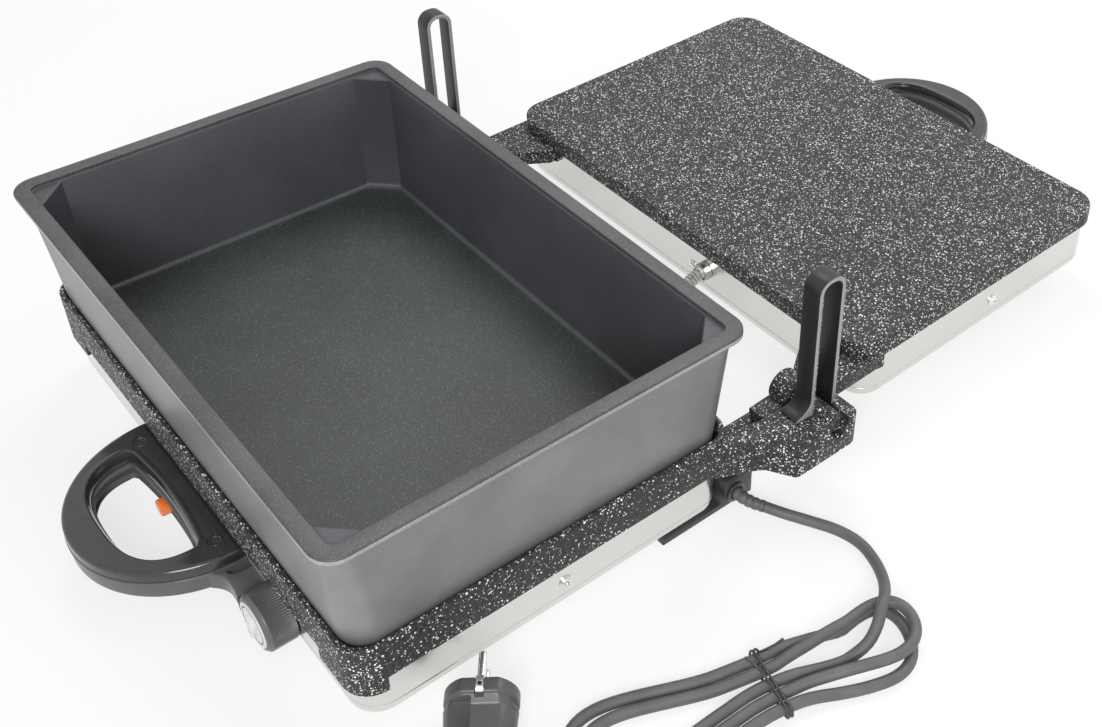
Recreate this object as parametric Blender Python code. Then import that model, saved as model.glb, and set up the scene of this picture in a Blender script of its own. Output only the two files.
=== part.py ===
"""Electric table grill with a deep loose pan, opened flat.

The lower half is a cast tray over a heater box, with a front handle, a thermostat knob and a mains lead.
The upper half is a flat cast plate over a second heater box. Its two hinge pins float in slotted uprights,
so the lid can rise and close over the pan. Everything is drawn at rest, with the lid lying open.

Units are metres. +X runs along the hinge, +Y runs from the front handle to the lid, +Z is up.
The origin is on the table, below the middle of the lower half.
"""

import math

import bmesh
import bpy
from mathutils import Matrix, Vector

# Overall sizes of the lower half
TRAY_LENGTH = 0.410
TRAY_WIDTH = 0.266
TRAY_CORNER = 0.018
BAND_HEIGHT = 0.028
TRAY_DEPTH = 0.0196
TRAY_LIP = 0.0035
TRAY_FLOOR = 0.005
TRAY_DRAFT = 0.0006
CAST_EDGE = 0.0010
DEEP_BAND = 0.0095
DEEP_BAND_REACH = 0.024

# Pressed steel shells
SHELL_SHEET = 0.0010
SHELL_CORNER = 0.019
SHELL_BOTTOM_RADIUS = 0.006
LOWER_SHELL_SHOWN = 0.0352
UPPER_SHELL_SHOWN = 0.0382
FOOT_HEIGHT = 0.005

# Overall sizes of the lid
LID_LENGTH = 0.402
LID_WIDTH = 0.259
LID_CORNER = 0.021
LID_BAND = 0.0135
LID_PLATE = 0.005
LID_SKIRT = 0.003
LID_DEEP_BAND = 0.0100
LID_TILT = math.radians(2.0)

# Hinge
HINGE_DROP = 0.0082
HINGE_REACH = 0.0580
LID_START = 0.0602
PIN_RADIUS = 0.007
PIN_SIDE_GAP = 0.0004
PIN_END_INSET = 0.0040
PIN_CHAMFER = 0.0010
EYE_RADIUS = 0.0118
ARM_INSET = 0.0007
ARM_WIDTH = 0.0155
ARM_TOP_DROP = 0.0095
ARM_BOTTOM_DROP = 0.0235
ARM_ROOT_WIDTH = 0.0623
ARM_ELBOW_WIDTH = 0.0343
ARM_ELBOW_Y = 0.0255
ARM_ROOT_Y = 0.0565
ARM_OVERLAP = 0.0022
LUG_REACH = 0.029
LUG_TOP = 0.0035
LUG_BOTTOM = 0.0125

# Uprights, bent from strip, that guide the hinge pins
UPRIGHT_HEIGHT = 0.1676
UPRIGHT_GAP = 0.00745
UPRIGHT_WIDTH = 0.0143
UPRIGHT_SPREAD = 0.0219
UPRIGHT_STRIP = 0.0030
UPRIGHT_BEND = 0.0095
UPRIGHT_TOE = 0.0122
UPRIGHT_TENON = 0.0080

# Cast ears of the tray that carry the uprights
EAR_DROP = 0.0042
EAR_BELOW = 0.0027
EAR_GAP = 0.0042
EAR_WIDTH = 0.0335
EAR_BACK = 0.0170
EAR_START = 0.0210
EAR_WAIST_OUT = 0.0100
EAR_WAIST_BACK = 0.0040
EAR_SHOULDER = 0.0340
EAR_BACK_CHAMFER = 0.0050
LEDGE_MARGIN = 0.0038
LEDGE_GAP = 0.0210
NOTCH_HALF = 0.0076
NOTCH_POINT = 0.0035

# Deep pan
PAN_OVER_LENGTH = 0.010
PAN_OVER_WIDTH = 0.012
PAN_DEPTH = 0.1004
PAN_RIM_WIDTH = 0.0105
PAN_RIM_THICK = 0.0050
PAN_RIM_CORNER = 0.015
PAN_WALL = 0.0025
PAN_UNDER_RIM = 0.0048
PAN_TAPER = 0.0062
PAN_BOTTOM_CORNER = 0.019
PAN_BOTTOM_RADIUS = 0.004
PAN_LEDGE_DEPTH = 0.0030
PAN_CHAMFER = 0.019
PAN_INNER_CORNER = 0.005

# Handles
HANDLE_HALF = 0.0696
HANDLE_REACH = 0.0746
HANDLE_HOLE_HALF = 0.0490
HANDLE_HOLE_START = 0.0158
HANDLE_HOLE_REACH = 0.0542
HANDLE_COVER = 0.0080
HANDLE_BASE = 0.0138
HANDLE_EDGE = 0.0020
HANDLE_DROP = 0.0314
LID_HANDLE_DROP = 0.0228
HANDLE_ARCH_SHARE = 0.99
HANDLE_HOLE_SHARE = 0.76
HANDLE_SCREW_X = 0.0535
HANDLE_SCREW_OUT = 0.0081
HANDLE_SCREW_HEAD = 0.0045
HANDLE_SCREW_HEAD_DEPTH = 0.0030
HANDLE_SCREW_SHANK = 0.0016
HANDLE_SCREW_LENGTH = 0.0170
HANDLE_SCREW_RECESS = 0.0003

# Thermostat knob and the bridge that it sits on
KNOB_REACH = 0.0416
KNOB_DROP = 0.0190
KNOB_RADIUS = 0.0186
KNOB_DEPTH = 0.0188
KNOB_BEVEL = 0.0018
KNOB_RIDGES = 40
KNOB_RIDGE_DEPTH = 0.0005
KNOB_BORE_DEPTH = 0.0130
KNOB_DISC_RADIUS = 0.0150
KNOB_DISC_SEAT = 0.0012
KNOB_DISC_THICK = 0.0015
SHAFT_RADIUS = 0.0030
SHAFT_FIT = 0.0003
SHAFT_HOLE = 0.0045
BRIDGE_REACH = 0.0140
BRIDGE_SWEEP = 0.0205
BRIDGE_ROOT = 0.0150
THERMOSTAT_HALF_WIDTH = 0.0140
THERMOSTAT_DEPTH = 0.0148
THERMOSTAT_DROP = 0.0290
SHAFT_SEAT = 0.0090

# Lamp below the front handle's cover
LAMP_X = -0.0112
LAMP_HALF = 0.0042
LAMP_HEIGHT = 0.0080
LAMP_PROUD = 0.0030
LAMP_SEAT = 0.0040
LAMP_BELOW = 0.0015

# Screws through the shells
SCREW_HEAD_RADIUS = 0.0036
SCREW_HEAD_DEPTH = 0.0022
SCREW_SHANK = 0.0017
SCREW_LENGTH = 0.0085
SCREW_RECESS_RADIUS = 0.0007
SCREW_RECESS_HALF = 0.0021
SCREW_RECESS_DEPTH = 0.0012
SCREW_LUG_HALF = 0.0060
SCREW_LUG_THICK = 0.0050
SCREW_LUG_BELOW = 0.0050
LOWER_SCREW_DROP = 0.0162
LOWER_SCREW_Y = 0.004
LID_SCREW_DROP = 0.0330
LID_SCREW_OFFSET = 0.0110
LID_REAR_SCREW_X = 0.0220
LOWER_REAR_SCREW_X = -0.0220

# Heaters and reflectors
HEATER_RADIUS = 0.0032
HEATER_INSET_X = 0.045
HEATER_INSET_Y = 0.038
HEATER_BEND = 0.018
HEATER_LEG_GAP = 0.030
REFLECTOR_SHEET = 0.0008
REFLECTOR_DEPTH = 0.0085
REFLECTOR_INSET = 0.024
REFLECTOR_CORNER = 0.012

# Rear feet and cable box
BOX_LENGTH = 0.0600
BOX_DEPTH = 0.0230
BOX_HEIGHT = 0.0200
BOX_COVER = 0.0016
BOX_WALL = 0.0020
FOOT_TOE_REACH = 0.0512
FOOT_TOE_SLOPE = 0.0015
FOOT_WIDTH = 0.0300
FRONT_FOOT_SIDE = 0.0412
FRONT_FOOT_FRONT = 0.0342
FRONT_FOOT_RADIUS = 0.0090
FRONT_FOOT_WASHER = 0.0070
FRONT_FOOT_WALL = 0.0025
GLAND_INSET = 0.0145
GLAND_Z = 0.0085
GLAND_FLANGE = 0.0074
GLAND_FLANGE_THICK = 0.0016
GLAND_BODY = 0.0060
GLAND_BORE = 0.0048
BLOCK_LENGTH = 0.0300
BLOCK_WIDTH = 0.0140
BLOCK_HEIGHT = 0.0120

# Mains lead. The points of its routes count from the gland along X and Y, and from the table upwards
CORD_DIAMETER = 0.0072
CORD_STEP = 0.0150
RELIEF_STEP = 0.0020
RELIEF_INSIDE = 0.0090
RELIEF_START_RADIUS = 0.0045
RELIEF_END_RADIUS = 0.0040
RELIEF_RIB = 0.0003
RELIEF_ROUTE = (
    (0.0073, 0.0005, 0.0083),
    (0.0138, 0.0028, 0.0075),
    (0.0203, 0.0066, 0.0066),
)
LEAD_ROUTE = (
    (0.0473, 0.0230, 0.0036),
    (0.0644, 0.0310, 0.0036),
    (0.0806, 0.0333, 0.0038),
    (0.0972, 0.0281, 0.0062),
    (0.1128, 0.0177, 0.0125),
    (0.1238, 0.0065, 0.0185),
    (0.1306, -0.0035, 0.0200),
    (0.1363, -0.0135, 0.0150),
    (0.1381, -0.0240, 0.0092),
)
TAIL_ROUTE = (
    (0.1288, -0.2000, 0.0036),
    (0.1266, -0.2180, 0.0036),
    (0.1209, -0.2398, 0.0036),
    (0.1099, -0.2508, 0.0042),
    (0.0949, -0.2548, 0.0066),
    (0.0846, -0.2530, 0.0094),
)

# Hank of the lead: two loops drawn in at the waist by a wire tie
HANK_OUT = 0.1178
HANK_FORWARD = 0.0802
HANK_ANGLE = math.radians(76.5)
HANK_NEAR_HALF = 0.0985
HANK_NEAR_SHORTENING = 0.0040
HANK_FAR_HALF = 0.1080
HANK_WAIST = 0.0004
HANK_LOBE = 0.0340
HANK_STEP = 0.0086
HANK_LOBE_STEP = 0.0092
HANK_RISE = 0.0079
HANK_RISE_START_SHARE = 0.08
HANK_RISE_HASTE_SHARE = 1.9
HANK_START = math.radians(76.0)
HANK_END = math.radians(845.0)
HANK_LOOP_POINTS = 24
HANK_WAIST_LIFT = 0.0022
HANK_LIFT_SPREAD = 0.0250
HANK_RUN_IN = 0.0190
TIE_RADIUS = 0.0008
TIE_PITCH = 0.0050
TIE_TURNS = 2
TIE_ARC_STEPS = 8
TIE_SIDES = 6
HANK_WAIST_STRANDS = 5
TIE_TAIL = 0.0140

# Plug
PLUG_OUT = 0.0335
PLUG_FORWARD = 0.2148
PLUG_ANGLE = math.radians(142.0)
PLUG_TILT = math.radians(7.0)
PLUG_RADIUS = 0.0206
PLUG_FLAT = 0.0181
PLUG_RUN_OUT = 0.0130
PLUG_DISC = 0.0090
PLUG_EDGE = 0.0015
PLUG_LENGTH = 0.0460
PLUG_SLOPE = 0.0040
PLUG_GRIP_HALF = 0.0190
PLUG_GRIP_ROUND = 0.0150
PLUG_GRIP_FLAT = 0.0125
PLUG_GRIP_LENGTH = 0.0220
PLUG_NOSE_RADIUS = 0.0058
PLUG_PIN_RADIUS = 0.0024
PLUG_PIN_LENGTH = 0.0190
PLUG_PIN_SPACING = 0.0190
PLUG_PIN_TIP = 0.0008
CLIP_WIDTH = 0.0042
CLIP_THICK = 0.0010
CLIP_SLOT = 0.0030
CLIP_LENGTH = 0.0070

# Ribbed metal conduit between the halves
CONDUIT_RADIUS = 0.0055
CONDUIT_VALLEY = 0.0046
CONDUIT_BORE = 0.0034
CONDUIT_RIBS = 70
CONDUIT_X = 0.0370
CONDUIT_DROP = 0.0285
CONDUIT_BOX_INSET = 0.0095
CONDUIT_BOX_Z = 0.0095
CONDUIT_ROUTE_SHARES = (
    (0.700, 0.002, 0.00),
    (0.380, 0.006, 0.00),
    (0.035, 0.036, 0.00),
    (-0.220, 0.136, 0.00),
    (-0.370, 0.300, 0.00),
    (-0.380, 0.480, 0.08),
    (-0.250, 0.640, 0.33),
    (-0.080, 0.755, 0.66),
)
FERRULE_RADIUS = 0.0072
FERRULE_LENGTH = 0.0060
FERRULE_BORE = 0.0060
WIRE_RADIUS = 0.0011

# Clearances and drawing steps
CLEARANCE = 0.0003
FIT = 0.0004
OVERRUN = 0.004
CORNER_STEPS = 6
ROUND_STEPS = 24
SMALL_STEPS = 12
ARC_STEPS = 4

# Colour, roughness and metallic value of each finish
FINISHES = {
    "speckled_casting": ((0.105, 0.105, 0.112), 0.55, 0.10),
    "bright_steel": ((0.82, 0.82, 0.80), 0.16, 1.00),
    "pan_coating": ((0.060, 0.066, 0.064), 0.42, 0.15),
    "gloss_black": ((0.018, 0.018, 0.019), 0.18, 0.00),
    "satin_black": ((0.030, 0.029, 0.030), 0.45, 0.00),
    "cord_rubber": ((0.100, 0.097, 0.100), 0.55, 0.00),
    "lamp_orange": ((0.900, 0.240, 0.015), 0.20, 0.00),
    "plain_steel": ((0.60, 0.60, 0.60), 0.35, 1.00),
    "heater_steel": ((0.25, 0.24, 0.23), 0.50, 1.00),
    "cream_plastic": ((0.75, 0.72, 0.62), 0.50, 0.00),
}

# Heights and places that follow from the sizes above
BAND_BOTTOM = FOOT_HEIGHT + LOWER_SHELL_SHOWN
TRAY_TOP = BAND_BOTTOM + BAND_HEIGHT
TRAY_BED = TRAY_TOP - TRAY_DEPTH
TRAY_UNDER = TRAY_BED - TRAY_FLOOR
HINGE_Y = TRAY_WIDTH / 2 + HINGE_REACH
HINGE_Z = TRAY_TOP - HINGE_DROP
LID_NEAR_Y = HINGE_Y + LID_START
LID_FAR_Y = LID_NEAR_Y + LID_WIDTH
LID_MID_Y = (LID_NEAR_Y + LID_FAR_Y) / 2
LID_FACE = HINGE_Z
LID_UNDER = LID_FACE - LID_PLATE
LID_BAND_BOTTOM = LID_FACE - LID_BAND
LID_SHELL_BOTTOM = LID_BAND_BOTTOM - UPPER_SHELL_SHOWN
LOWER_SHELL_HALF_X = TRAY_LENGTH / 2 - TRAY_LIP - CLEARANCE
LOWER_SHELL_HALF_Y = TRAY_WIDTH / 2 - TRAY_LIP - CLEARANCE
UPPER_SHELL_HALF_X = LID_LENGTH / 2 - LID_SKIRT - CLEARANCE
UPPER_SHELL_HALF_Y = LID_WIDTH / 2 - LID_SKIRT - CLEARANCE
PAN_LENGTH = TRAY_LENGTH + PAN_OVER_LENGTH
PAN_WIDTH = TRAY_WIDTH + PAN_OVER_WIDTH
PAN_RIM_TOP = TRAY_BED + CLEARANCE + PAN_DEPTH
ARM_OUTER_X = LID_LENGTH / 2 - ARM_INSET
ARM_INNER_X = ARM_OUTER_X - ARM_WIDTH
ARM_ROOT_X = ARM_OUTER_X - ARM_ROOT_WIDTH
ARM_ELBOW_X = ARM_OUTER_X - ARM_ELBOW_WIDTH
EAR_INNER_X = ARM_OUTER_X + EAR_GAP
EAR_OUTER_X = EAR_INNER_X + EAR_WIDTH
EAR_WAIST_X = TRAY_LENGTH / 2 + EAR_WAIST_OUT
EAR_START_Y = TRAY_WIDTH / 2 - EAR_START
EAR_WAIST_Y = TRAY_WIDTH / 2 + EAR_WAIST_BACK
EAR_SHOULDER_Y = HINGE_Y - EAR_SHOULDER
EAR_BACK_Y = HINGE_Y + EAR_BACK
EAR_TOP = TRAY_TOP - EAR_DROP
EAR_BOTTOM = BAND_BOTTOM - EAR_BELOW
LEDGE_INNER_X = ARM_INNER_X - LEDGE_MARGIN
LEDGE_BACK_Y = HINGE_Y - LEDGE_GAP
UPRIGHT_X = ARM_OUTER_X + UPRIGHT_GAP + UPRIGHT_WIDTH / 2
PIN_INNER_X = ARM_INNER_X + PIN_SIDE_GAP
PIN_OUTER_X = EAR_OUTER_X - PIN_END_INSET
KNOB_X = HANDLE_HALF + KNOB_REACH
KNOB_Z = BAND_BOTTOM - KNOB_DROP
LAMP_BOTTOM = TRAY_TOP - HANDLE_DROP - HANDLE_COVER - CLEARANCE - HANDLE_BASE - LAMP_BELOW
LOWER_SCREW_Z = BAND_BOTTOM - LOWER_SCREW_DROP
BOX_OUTER_X = LOWER_SHELL_HALF_X
BOX_INNER_X = BOX_OUTER_X - BOX_LENGTH
BOX_BACK_Y = LOWER_SHELL_HALF_Y + CLEARANCE + BOX_DEPTH
FOOT_TOE_Y = LOWER_SHELL_HALF_Y - FOOT_TOE_REACH
FRONT_FOOT_X = LOWER_SHELL_HALF_X - FRONT_FOOT_SIDE
FRONT_FOOT_Y = FRONT_FOOT_FRONT - LOWER_SHELL_HALF_Y
GLAND_Y = BOX_BACK_Y - GLAND_INSET
CORD_RADIUS = CORD_DIAMETER / 2
HANK_X = BOX_OUTER_X + HANK_OUT
HANK_Y = GLAND_Y - HANK_FORWARD


def clear_scene():
    for obj in list(bpy.data.objects):
        bpy.data.objects.remove(obj, do_unlink=True)


def finish_material(name):
    found = bpy.data.materials.get(name)
    if found:
        return found
    colour, roughness, metallic = FINISHES[name]
    material = bpy.data.materials.new(name)
    material.use_nodes = True
    shader = material.node_tree.nodes["Principled BSDF"]
    shader.inputs["Base Color"].default_value = (*colour, 1.0)
    shader.inputs["Roughness"].default_value = roughness
    shader.inputs["Metallic"].default_value = metallic
    return material


def add_empty(name, place, tilt=0.0):
    empty = bpy.data.objects.new(name, None)
    empty.location = place
    empty.rotation_euler = (tilt, 0.0, 0.0)
    bpy.context.scene.collection.objects.link(empty)
    return empty


def add_object(name, shape, finish, carrier=None):
    """Makes one named object. With a carrier, the shape is drawn as if the carrier stood unturned."""
    if carrier:
        bmesh.ops.translate(shape, verts=shape.verts, vec=-carrier.location)
    mesh = bpy.data.meshes.new(name)
    shape.to_mesh(mesh)
    shape.free()
    mesh.shade_smooth()
    mesh.set_sharp_from_angle(angle=math.radians(38))
    mesh.materials.append(finish_material(finish))
    obj = bpy.data.objects.new(name, mesh)
    bpy.context.scene.collection.objects.link(obj)
    obj.parent = carrier
    return obj


def apply_boolean(target, shape, operation, carrier=None):
    """Cuts a helper shape from the target, or joins it on, and hides the helper."""
    name = f"{target.name}_{operation.lower()}_{len(target.modifiers)}"
    helper = add_object(name, shape, "satin_black", carrier)
    helper.hide_render = True
    helper.display_type = "WIRE"
    modifier = target.modifiers.new(name, "BOOLEAN")
    modifier.operation = operation
    modifier.solver = "EXACT"
    modifier.object = helper


def cut(target, shape, carrier=None):
    apply_boolean(target, shape, "DIFFERENCE", carrier)


def fuse(target, shape, carrier=None):
    apply_boolean(target, shape, "UNION", carrier)


def loft(loops, cyclic=False):
    """Skins equal loops of points in order. An open loft is capped at both ends."""
    shape = bmesh.new()
    rows = [[shape.verts.new(point) for point in loop] for loop in loops]
    pairs = list(zip(rows, rows[1:]))
    if cyclic:
        pairs.append((rows[-1], rows[0]))
    for low, high in pairs:
        for i in range(len(low)):
            j = (i + 1) % len(low)
            shape.faces.new((low[i], low[j], high[j], high[i]))
    if not cyclic:
        shape.faces.new(rows[0][::-1])
        shape.faces.new(rows[-1])
    bmesh.ops.recalc_face_normals(shape, faces=shape.faces)
    return shape


def prism(outline, axis, low, high):
    """Extrudes a flat outline along X, Y or Z. The outline's two numbers are the other two axes in order."""
    place = {
        "X": lambda point, along: Vector((along, point[0], point[1])),
        "Y": lambda point, along: Vector((point[0], along, point[1])),
        "Z": lambda point, along: Vector((point[0], point[1], along)),
    }[axis]
    return loft([[place(point, along) for point in outline] for along in (low, high)])


def box(low, high):
    outline = [(low[0], low[1]), (high[0], low[1]), (high[0], high[1]), (low[0], high[1])]
    return prism(outline, "Z", low[2], high[2])


def circle(centre, radius, steps=ROUND_STEPS):
    angles = [2 * math.pi * i / steps for i in range(steps)]
    return [(centre[0] + radius * math.cos(a), centre[1] + radius * math.sin(a)) for a in angles]


def cylinder(centre, radius, axis, low, high, steps=ROUND_STEPS):
    return prism(circle(centre, radius, steps), axis, low, high)


def turned(centre, axis, profile, steps=ROUND_STEPS, cyclic=False):
    """Turns a profile of (radius, place along the axis) pairs about a line through centre."""
    loops = []
    for radius, along in profile:
        points = circle(centre, radius, steps)
        if axis == "X":
            loops.append([Vector((along, a, b)) for a, b in points])
        elif axis == "Y":
            loops.append([Vector((a, along, b)) for a, b in points])
        else:
            loops.append([Vector((a, b, along)) for a, b in points])
    return loft(loops, cyclic)


def corner_outline(half_x, half_y, radius, chamfered=False):
    """A rectangle with round or chamfered corners, with the same number of points for either."""
    points = []
    for quarter in range(4):
        sign_x = 1 if quarter in (0, 3) else -1
        sign_y = 1 if quarter < 2 else -1
        centre = (sign_x * (half_x - radius), sign_y * (half_y - radius))
        for step in range(CORNER_STEPS + 1):
            share = step / CORNER_STEPS
            if chamfered:
                first = (math.cos(quarter * math.pi / 2), math.sin(quarter * math.pi / 2))
                last = (math.cos((quarter + 1) * math.pi / 2), math.sin((quarter + 1) * math.pi / 2))
                way = [first[k] + (last[k] - first[k]) * share for k in (0, 1)]
            else:
                angle = (quarter + share) * math.pi / 2
                way = [math.cos(angle), math.sin(angle)]
            points.append((centre[0] + radius * way[0], centre[1] + radius * way[1]))
    return points


def level(outline, height, middle_y=0.0):
    return [Vector((x, y + middle_y, height)) for x, y in outline]


def rounded_edge(radius, steps=ARC_STEPS):
    """Inset and drop pairs of a quarter round, from its end below to its end on the side."""
    angles = [math.pi / 2 * i / steps for i in range(steps + 1)]
    return [(radius * (1 - math.sin(a)), radius * (1 - math.cos(a))) for a in angles]


def shell_shape(half_x, half_y, bottom, top, middle_y):
    """A pressed sheet pan, open at the top."""
    loops = []
    for inset, lift in rounded_edge(SHELL_BOTTOM_RADIUS):
        corner = SHELL_CORNER - inset
        loops.append(level(corner_outline(half_x - inset, half_y - inset, corner), bottom + lift, middle_y))
    loops.append(level(corner_outline(half_x, half_y, SHELL_CORNER), top, middle_y))
    inner_corner = SHELL_CORNER - SHELL_SHEET
    inner = corner_outline(half_x - SHELL_SHEET, half_y - SHELL_SHEET, inner_corner)
    loops.append(level(inner, top, middle_y))
    inner_radius = SHELL_BOTTOM_RADIUS - SHELL_SHEET
    for inset, lift in reversed(rounded_edge(inner_radius)):
        deep = SHELL_SHEET + inset
        corner = SHELL_CORNER - deep
        height = bottom + SHELL_SHEET + lift
        loops.append(level(corner_outline(half_x - deep, half_y - deep, corner), height, middle_y))
    return loft(loops)


def smooth_route(points, step, lowest=0.0):
    """Even points on a smooth curve through the given ones, none of them lower than the given height."""
    fine = []
    padded = [points[0] * 2 - points[1], *points, points[-1] * 2 - points[-2]]
    fine_steps = 24
    for i in range(1, len(padded) - 2):
        a, b, c, d = padded[i - 1 : i + 3]
        for k in range(fine_steps):
            t = k / fine_steps
            linear = (c - a) * t
            square = (2 * a - 5 * b + 4 * c - d) * t**2
            cube = (3 * b - a - 3 * c + d) * t**3
            fine.append((2 * b + linear + square + cube) / 2)
    fine.append(points[-1])
    lengths = [0.0]
    for before, after in zip(fine, fine[1:]):
        lengths.append(lengths[-1] + (after - before).length)
    count = max(2, round(lengths[-1] / step))
    even = []
    at = 0
    for i in range(count + 1):
        want = lengths[-1] * i / count
        while at < len(lengths) - 2 and lengths[at + 1] < want:
            at += 1
        span = lengths[at + 1] - lengths[at]
        share = (want - lengths[at]) / span if span else 0.0
        point = fine[at].lerp(fine[at + 1], min(max(share, 0.0), 1.0))
        point.z = max(point.z, lowest)
        even.append(point)
    return even


def add_cord(name, points, radius, finish, resolution):
    """A round lead as a curve with a bevel and filled caps."""
    curve = bpy.data.curves.new(name, "CURVE")
    curve.dimensions = "3D"
    curve.bevel_depth = radius
    curve.bevel_resolution = resolution
    curve.use_fill_caps = True
    spline = curve.splines.new("POLY")
    spline.points.add(len(points) - 1)
    for target, point in zip(spline.points, points):
        target.co = (*point, 1.0)
    curve.materials.append(finish_material(finish))
    obj = bpy.data.objects.new(name, curve)
    bpy.context.scene.collection.objects.link(obj)
    return obj


def tangents(points):
    last = len(points) - 1
    return [(points[min(i + 1, last)] - points[max(i - 1, 0)]).normalized() for i in range(last + 1)]


def frames(points):
    """Two cross directions at each point, carried along so that a tube doesn't twist."""
    ways = tangents(points)
    side = ways[0].cross(Vector((0, 0, 1))).normalized()
    found = []
    for way in ways:
        side = (side - way * side.dot(way)).normalized()
        found.append((side, way.cross(side)))
    return found


def sweep_rings(points, radii, sides):
    """A ring of points round each point of a route."""
    rings = []
    for point, radius, (side, up) in zip(points, radii, frames(points)):
        angles = [2 * math.pi * k / sides for k in range(sides)]
        rings.append([point + side * (radius * math.cos(a)) + up * (radius * math.sin(a)) for a in angles])
    return rings


def least_gap(points, radius, near):
    """The least free distance between turns of a tube, leaving out points close along it."""
    least = math.inf
    for i in range(len(points) - 1):
        for j in range(i + near, len(points) - 1):
            least = min(least, segment_distance(points[i], points[i + 1], points[j], points[j + 1]))
    return least - 2 * radius


def segment_distance(a, b, c, d):
    """The distance between two straight stretches, sampled finely enough for tubes."""
    samples = 6
    best = math.inf
    for i in range(samples + 1):
        p = a.lerp(b, i / samples)
        way = d - c
        share = min(max((p - c).dot(way) / way.length_squared, 0.0), 1.0)
        best = min(best, (p - c - way * share).length)
    return best


def mirrored(points, side):
    return [(side * x, y) for x, y in points]


# Lower half


def build_tray():
    """The cast tray: a skirt outside, a deep bed for the pan, and the ears that carry the hinge."""
    half_x = TRAY_LENGTH / 2
    half_y = TRAY_WIDTH / 2
    skirt = TRAY_LIP
    inner_corner = TRAY_CORNER - skirt
    edge_corner = TRAY_CORNER - CAST_EDGE
    bed = TRAY_LIP + TRAY_DRAFT
    loops = [
        level(corner_outline(half_x - skirt, half_y - skirt, inner_corner), TRAY_UNDER),
        level(corner_outline(half_x - skirt, half_y - skirt, inner_corner), BAND_BOTTOM),
        level(corner_outline(half_x, half_y, TRAY_CORNER), BAND_BOTTOM),
        level(corner_outline(half_x, half_y, TRAY_CORNER), TRAY_TOP - CAST_EDGE),
        level(corner_outline(half_x - CAST_EDGE, half_y - CAST_EDGE, edge_corner), TRAY_TOP),
        level(corner_outline(half_x - TRAY_LIP, half_y - TRAY_LIP, inner_corner), TRAY_TOP),
        level(corner_outline(half_x - bed, half_y - bed, inner_corner - TRAY_DRAFT), TRAY_BED),
    ]
    tray = add_object("tray_plate", loft(loops), "speckled_casting")
    for side in (1, -1):
        fuse(tray, ear_shape(side))
        fuse(tray, ledge_shape(side))
        fuse(tray, deep_corner_shape(side))
        cut(tray, upright_pocket_shape(side))
        cut(tray, pin_notch_shape(side))
    for lug in lower_screw_lugs():
        fuse(tray, lug)
    for place in lower_screw_places():
        cut(tray, screw_hole_shape(place, SCREW_SHANK + CLEARANCE))


def ear_shape(side):
    arc_centre = (TRAY_LENGTH / 2 - TRAY_CORNER, TRAY_WIDTH / 2 - TRAY_CORNER)
    arc_radius = TRAY_CORNER - TRAY_LIP / 2
    wall_x = arc_centre[0] + arc_radius
    arc = []
    for i in range(ARC_STEPS + 1):
        angle = math.pi / 4 * i / ARC_STEPS
        way = (math.cos(angle), math.sin(angle))
        arc.append([arc_centre[k] + arc_radius * way[k] for k in (0, 1)])
    outline = [
        (wall_x, EAR_START_Y),
        (EAR_WAIST_X, EAR_WAIST_Y),
        (EAR_OUTER_X, EAR_SHOULDER_Y),
        (EAR_OUTER_X, EAR_BACK_Y - EAR_BACK_CHAMFER),
        (EAR_OUTER_X - EAR_BACK_CHAMFER, EAR_BACK_Y),
        (EAR_INNER_X, EAR_BACK_Y),
        (EAR_INNER_X, LEDGE_BACK_Y - LUG_REACH / 2),
        *reversed(arc),
    ]
    return prism(mirrored(outline, side), "Z", EAR_BOTTOM, EAR_TOP)


def ledge_top():
    """The ledge lies just below the lug of the open lid."""
    drop = LUG_REACH * math.sin(LID_TILT) + LUG_BOTTOM * math.cos(LID_TILT)
    return HINGE_Z - drop - CLEARANCE


def ledge_shape(side):
    wall_y = TRAY_WIDTH / 2 - TRAY_LIP / 2
    outline = [
        (LEDGE_INNER_X, wall_y),
        (LEDGE_INNER_X, LEDGE_BACK_Y),
        (EAR_INNER_X + OVERRUN, LEDGE_BACK_Y),
        (EAR_INNER_X + OVERRUN, wall_y),
    ]
    return prism(mirrored(outline, side), "Z", EAR_BOTTOM + CAST_EDGE, ledge_top())


def deep_corner_shape(side):
    """The skirt reaches lower round the two front corners."""
    half_x = TRAY_LENGTH / 2
    half_y = TRAY_WIDTH / 2
    centre = (half_x - TRAY_CORNER, half_y - TRAY_CORNER)
    outer = []
    inner = []
    for i in range(CORNER_STEPS + 1):
        angle = math.pi / 2 * i / CORNER_STEPS
        way = (math.cos(angle), math.sin(angle))
        outer.append([centre[k] + TRAY_CORNER * way[k] for k in (0, 1)])
        inner.append([centre[k] + (TRAY_CORNER - TRAY_LIP) * way[k] for k in (0, 1)])
    start = half_y - TRAY_CORNER - DEEP_BAND_REACH
    end = half_x - TRAY_CORNER - DEEP_BAND_REACH
    outline = [(half_x, start), *outer, (end, half_y), (end, half_y - TRAY_LIP), *reversed(inner)]
    outline.append((half_x - TRAY_LIP, start))
    flipped = [(side * x, -y) for x, y in outline]
    return prism(flipped, "Z", BAND_BOTTOM - DEEP_BAND, BAND_BOTTOM + TRAY_LIP)


def upright_pocket_shape(side):
    half = UPRIGHT_WIDTH / 2 + CLEARANCE
    reach = UPRIGHT_SPREAD / 2 + CLEARANCE
    low = (side * UPRIGHT_X - half, HINGE_Y - reach, EAR_TOP - UPRIGHT_TENON - CLEARANCE)
    high = (side * UPRIGHT_X + half, HINGE_Y + reach, EAR_TOP + OVERRUN)
    return box(low, high)


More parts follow.
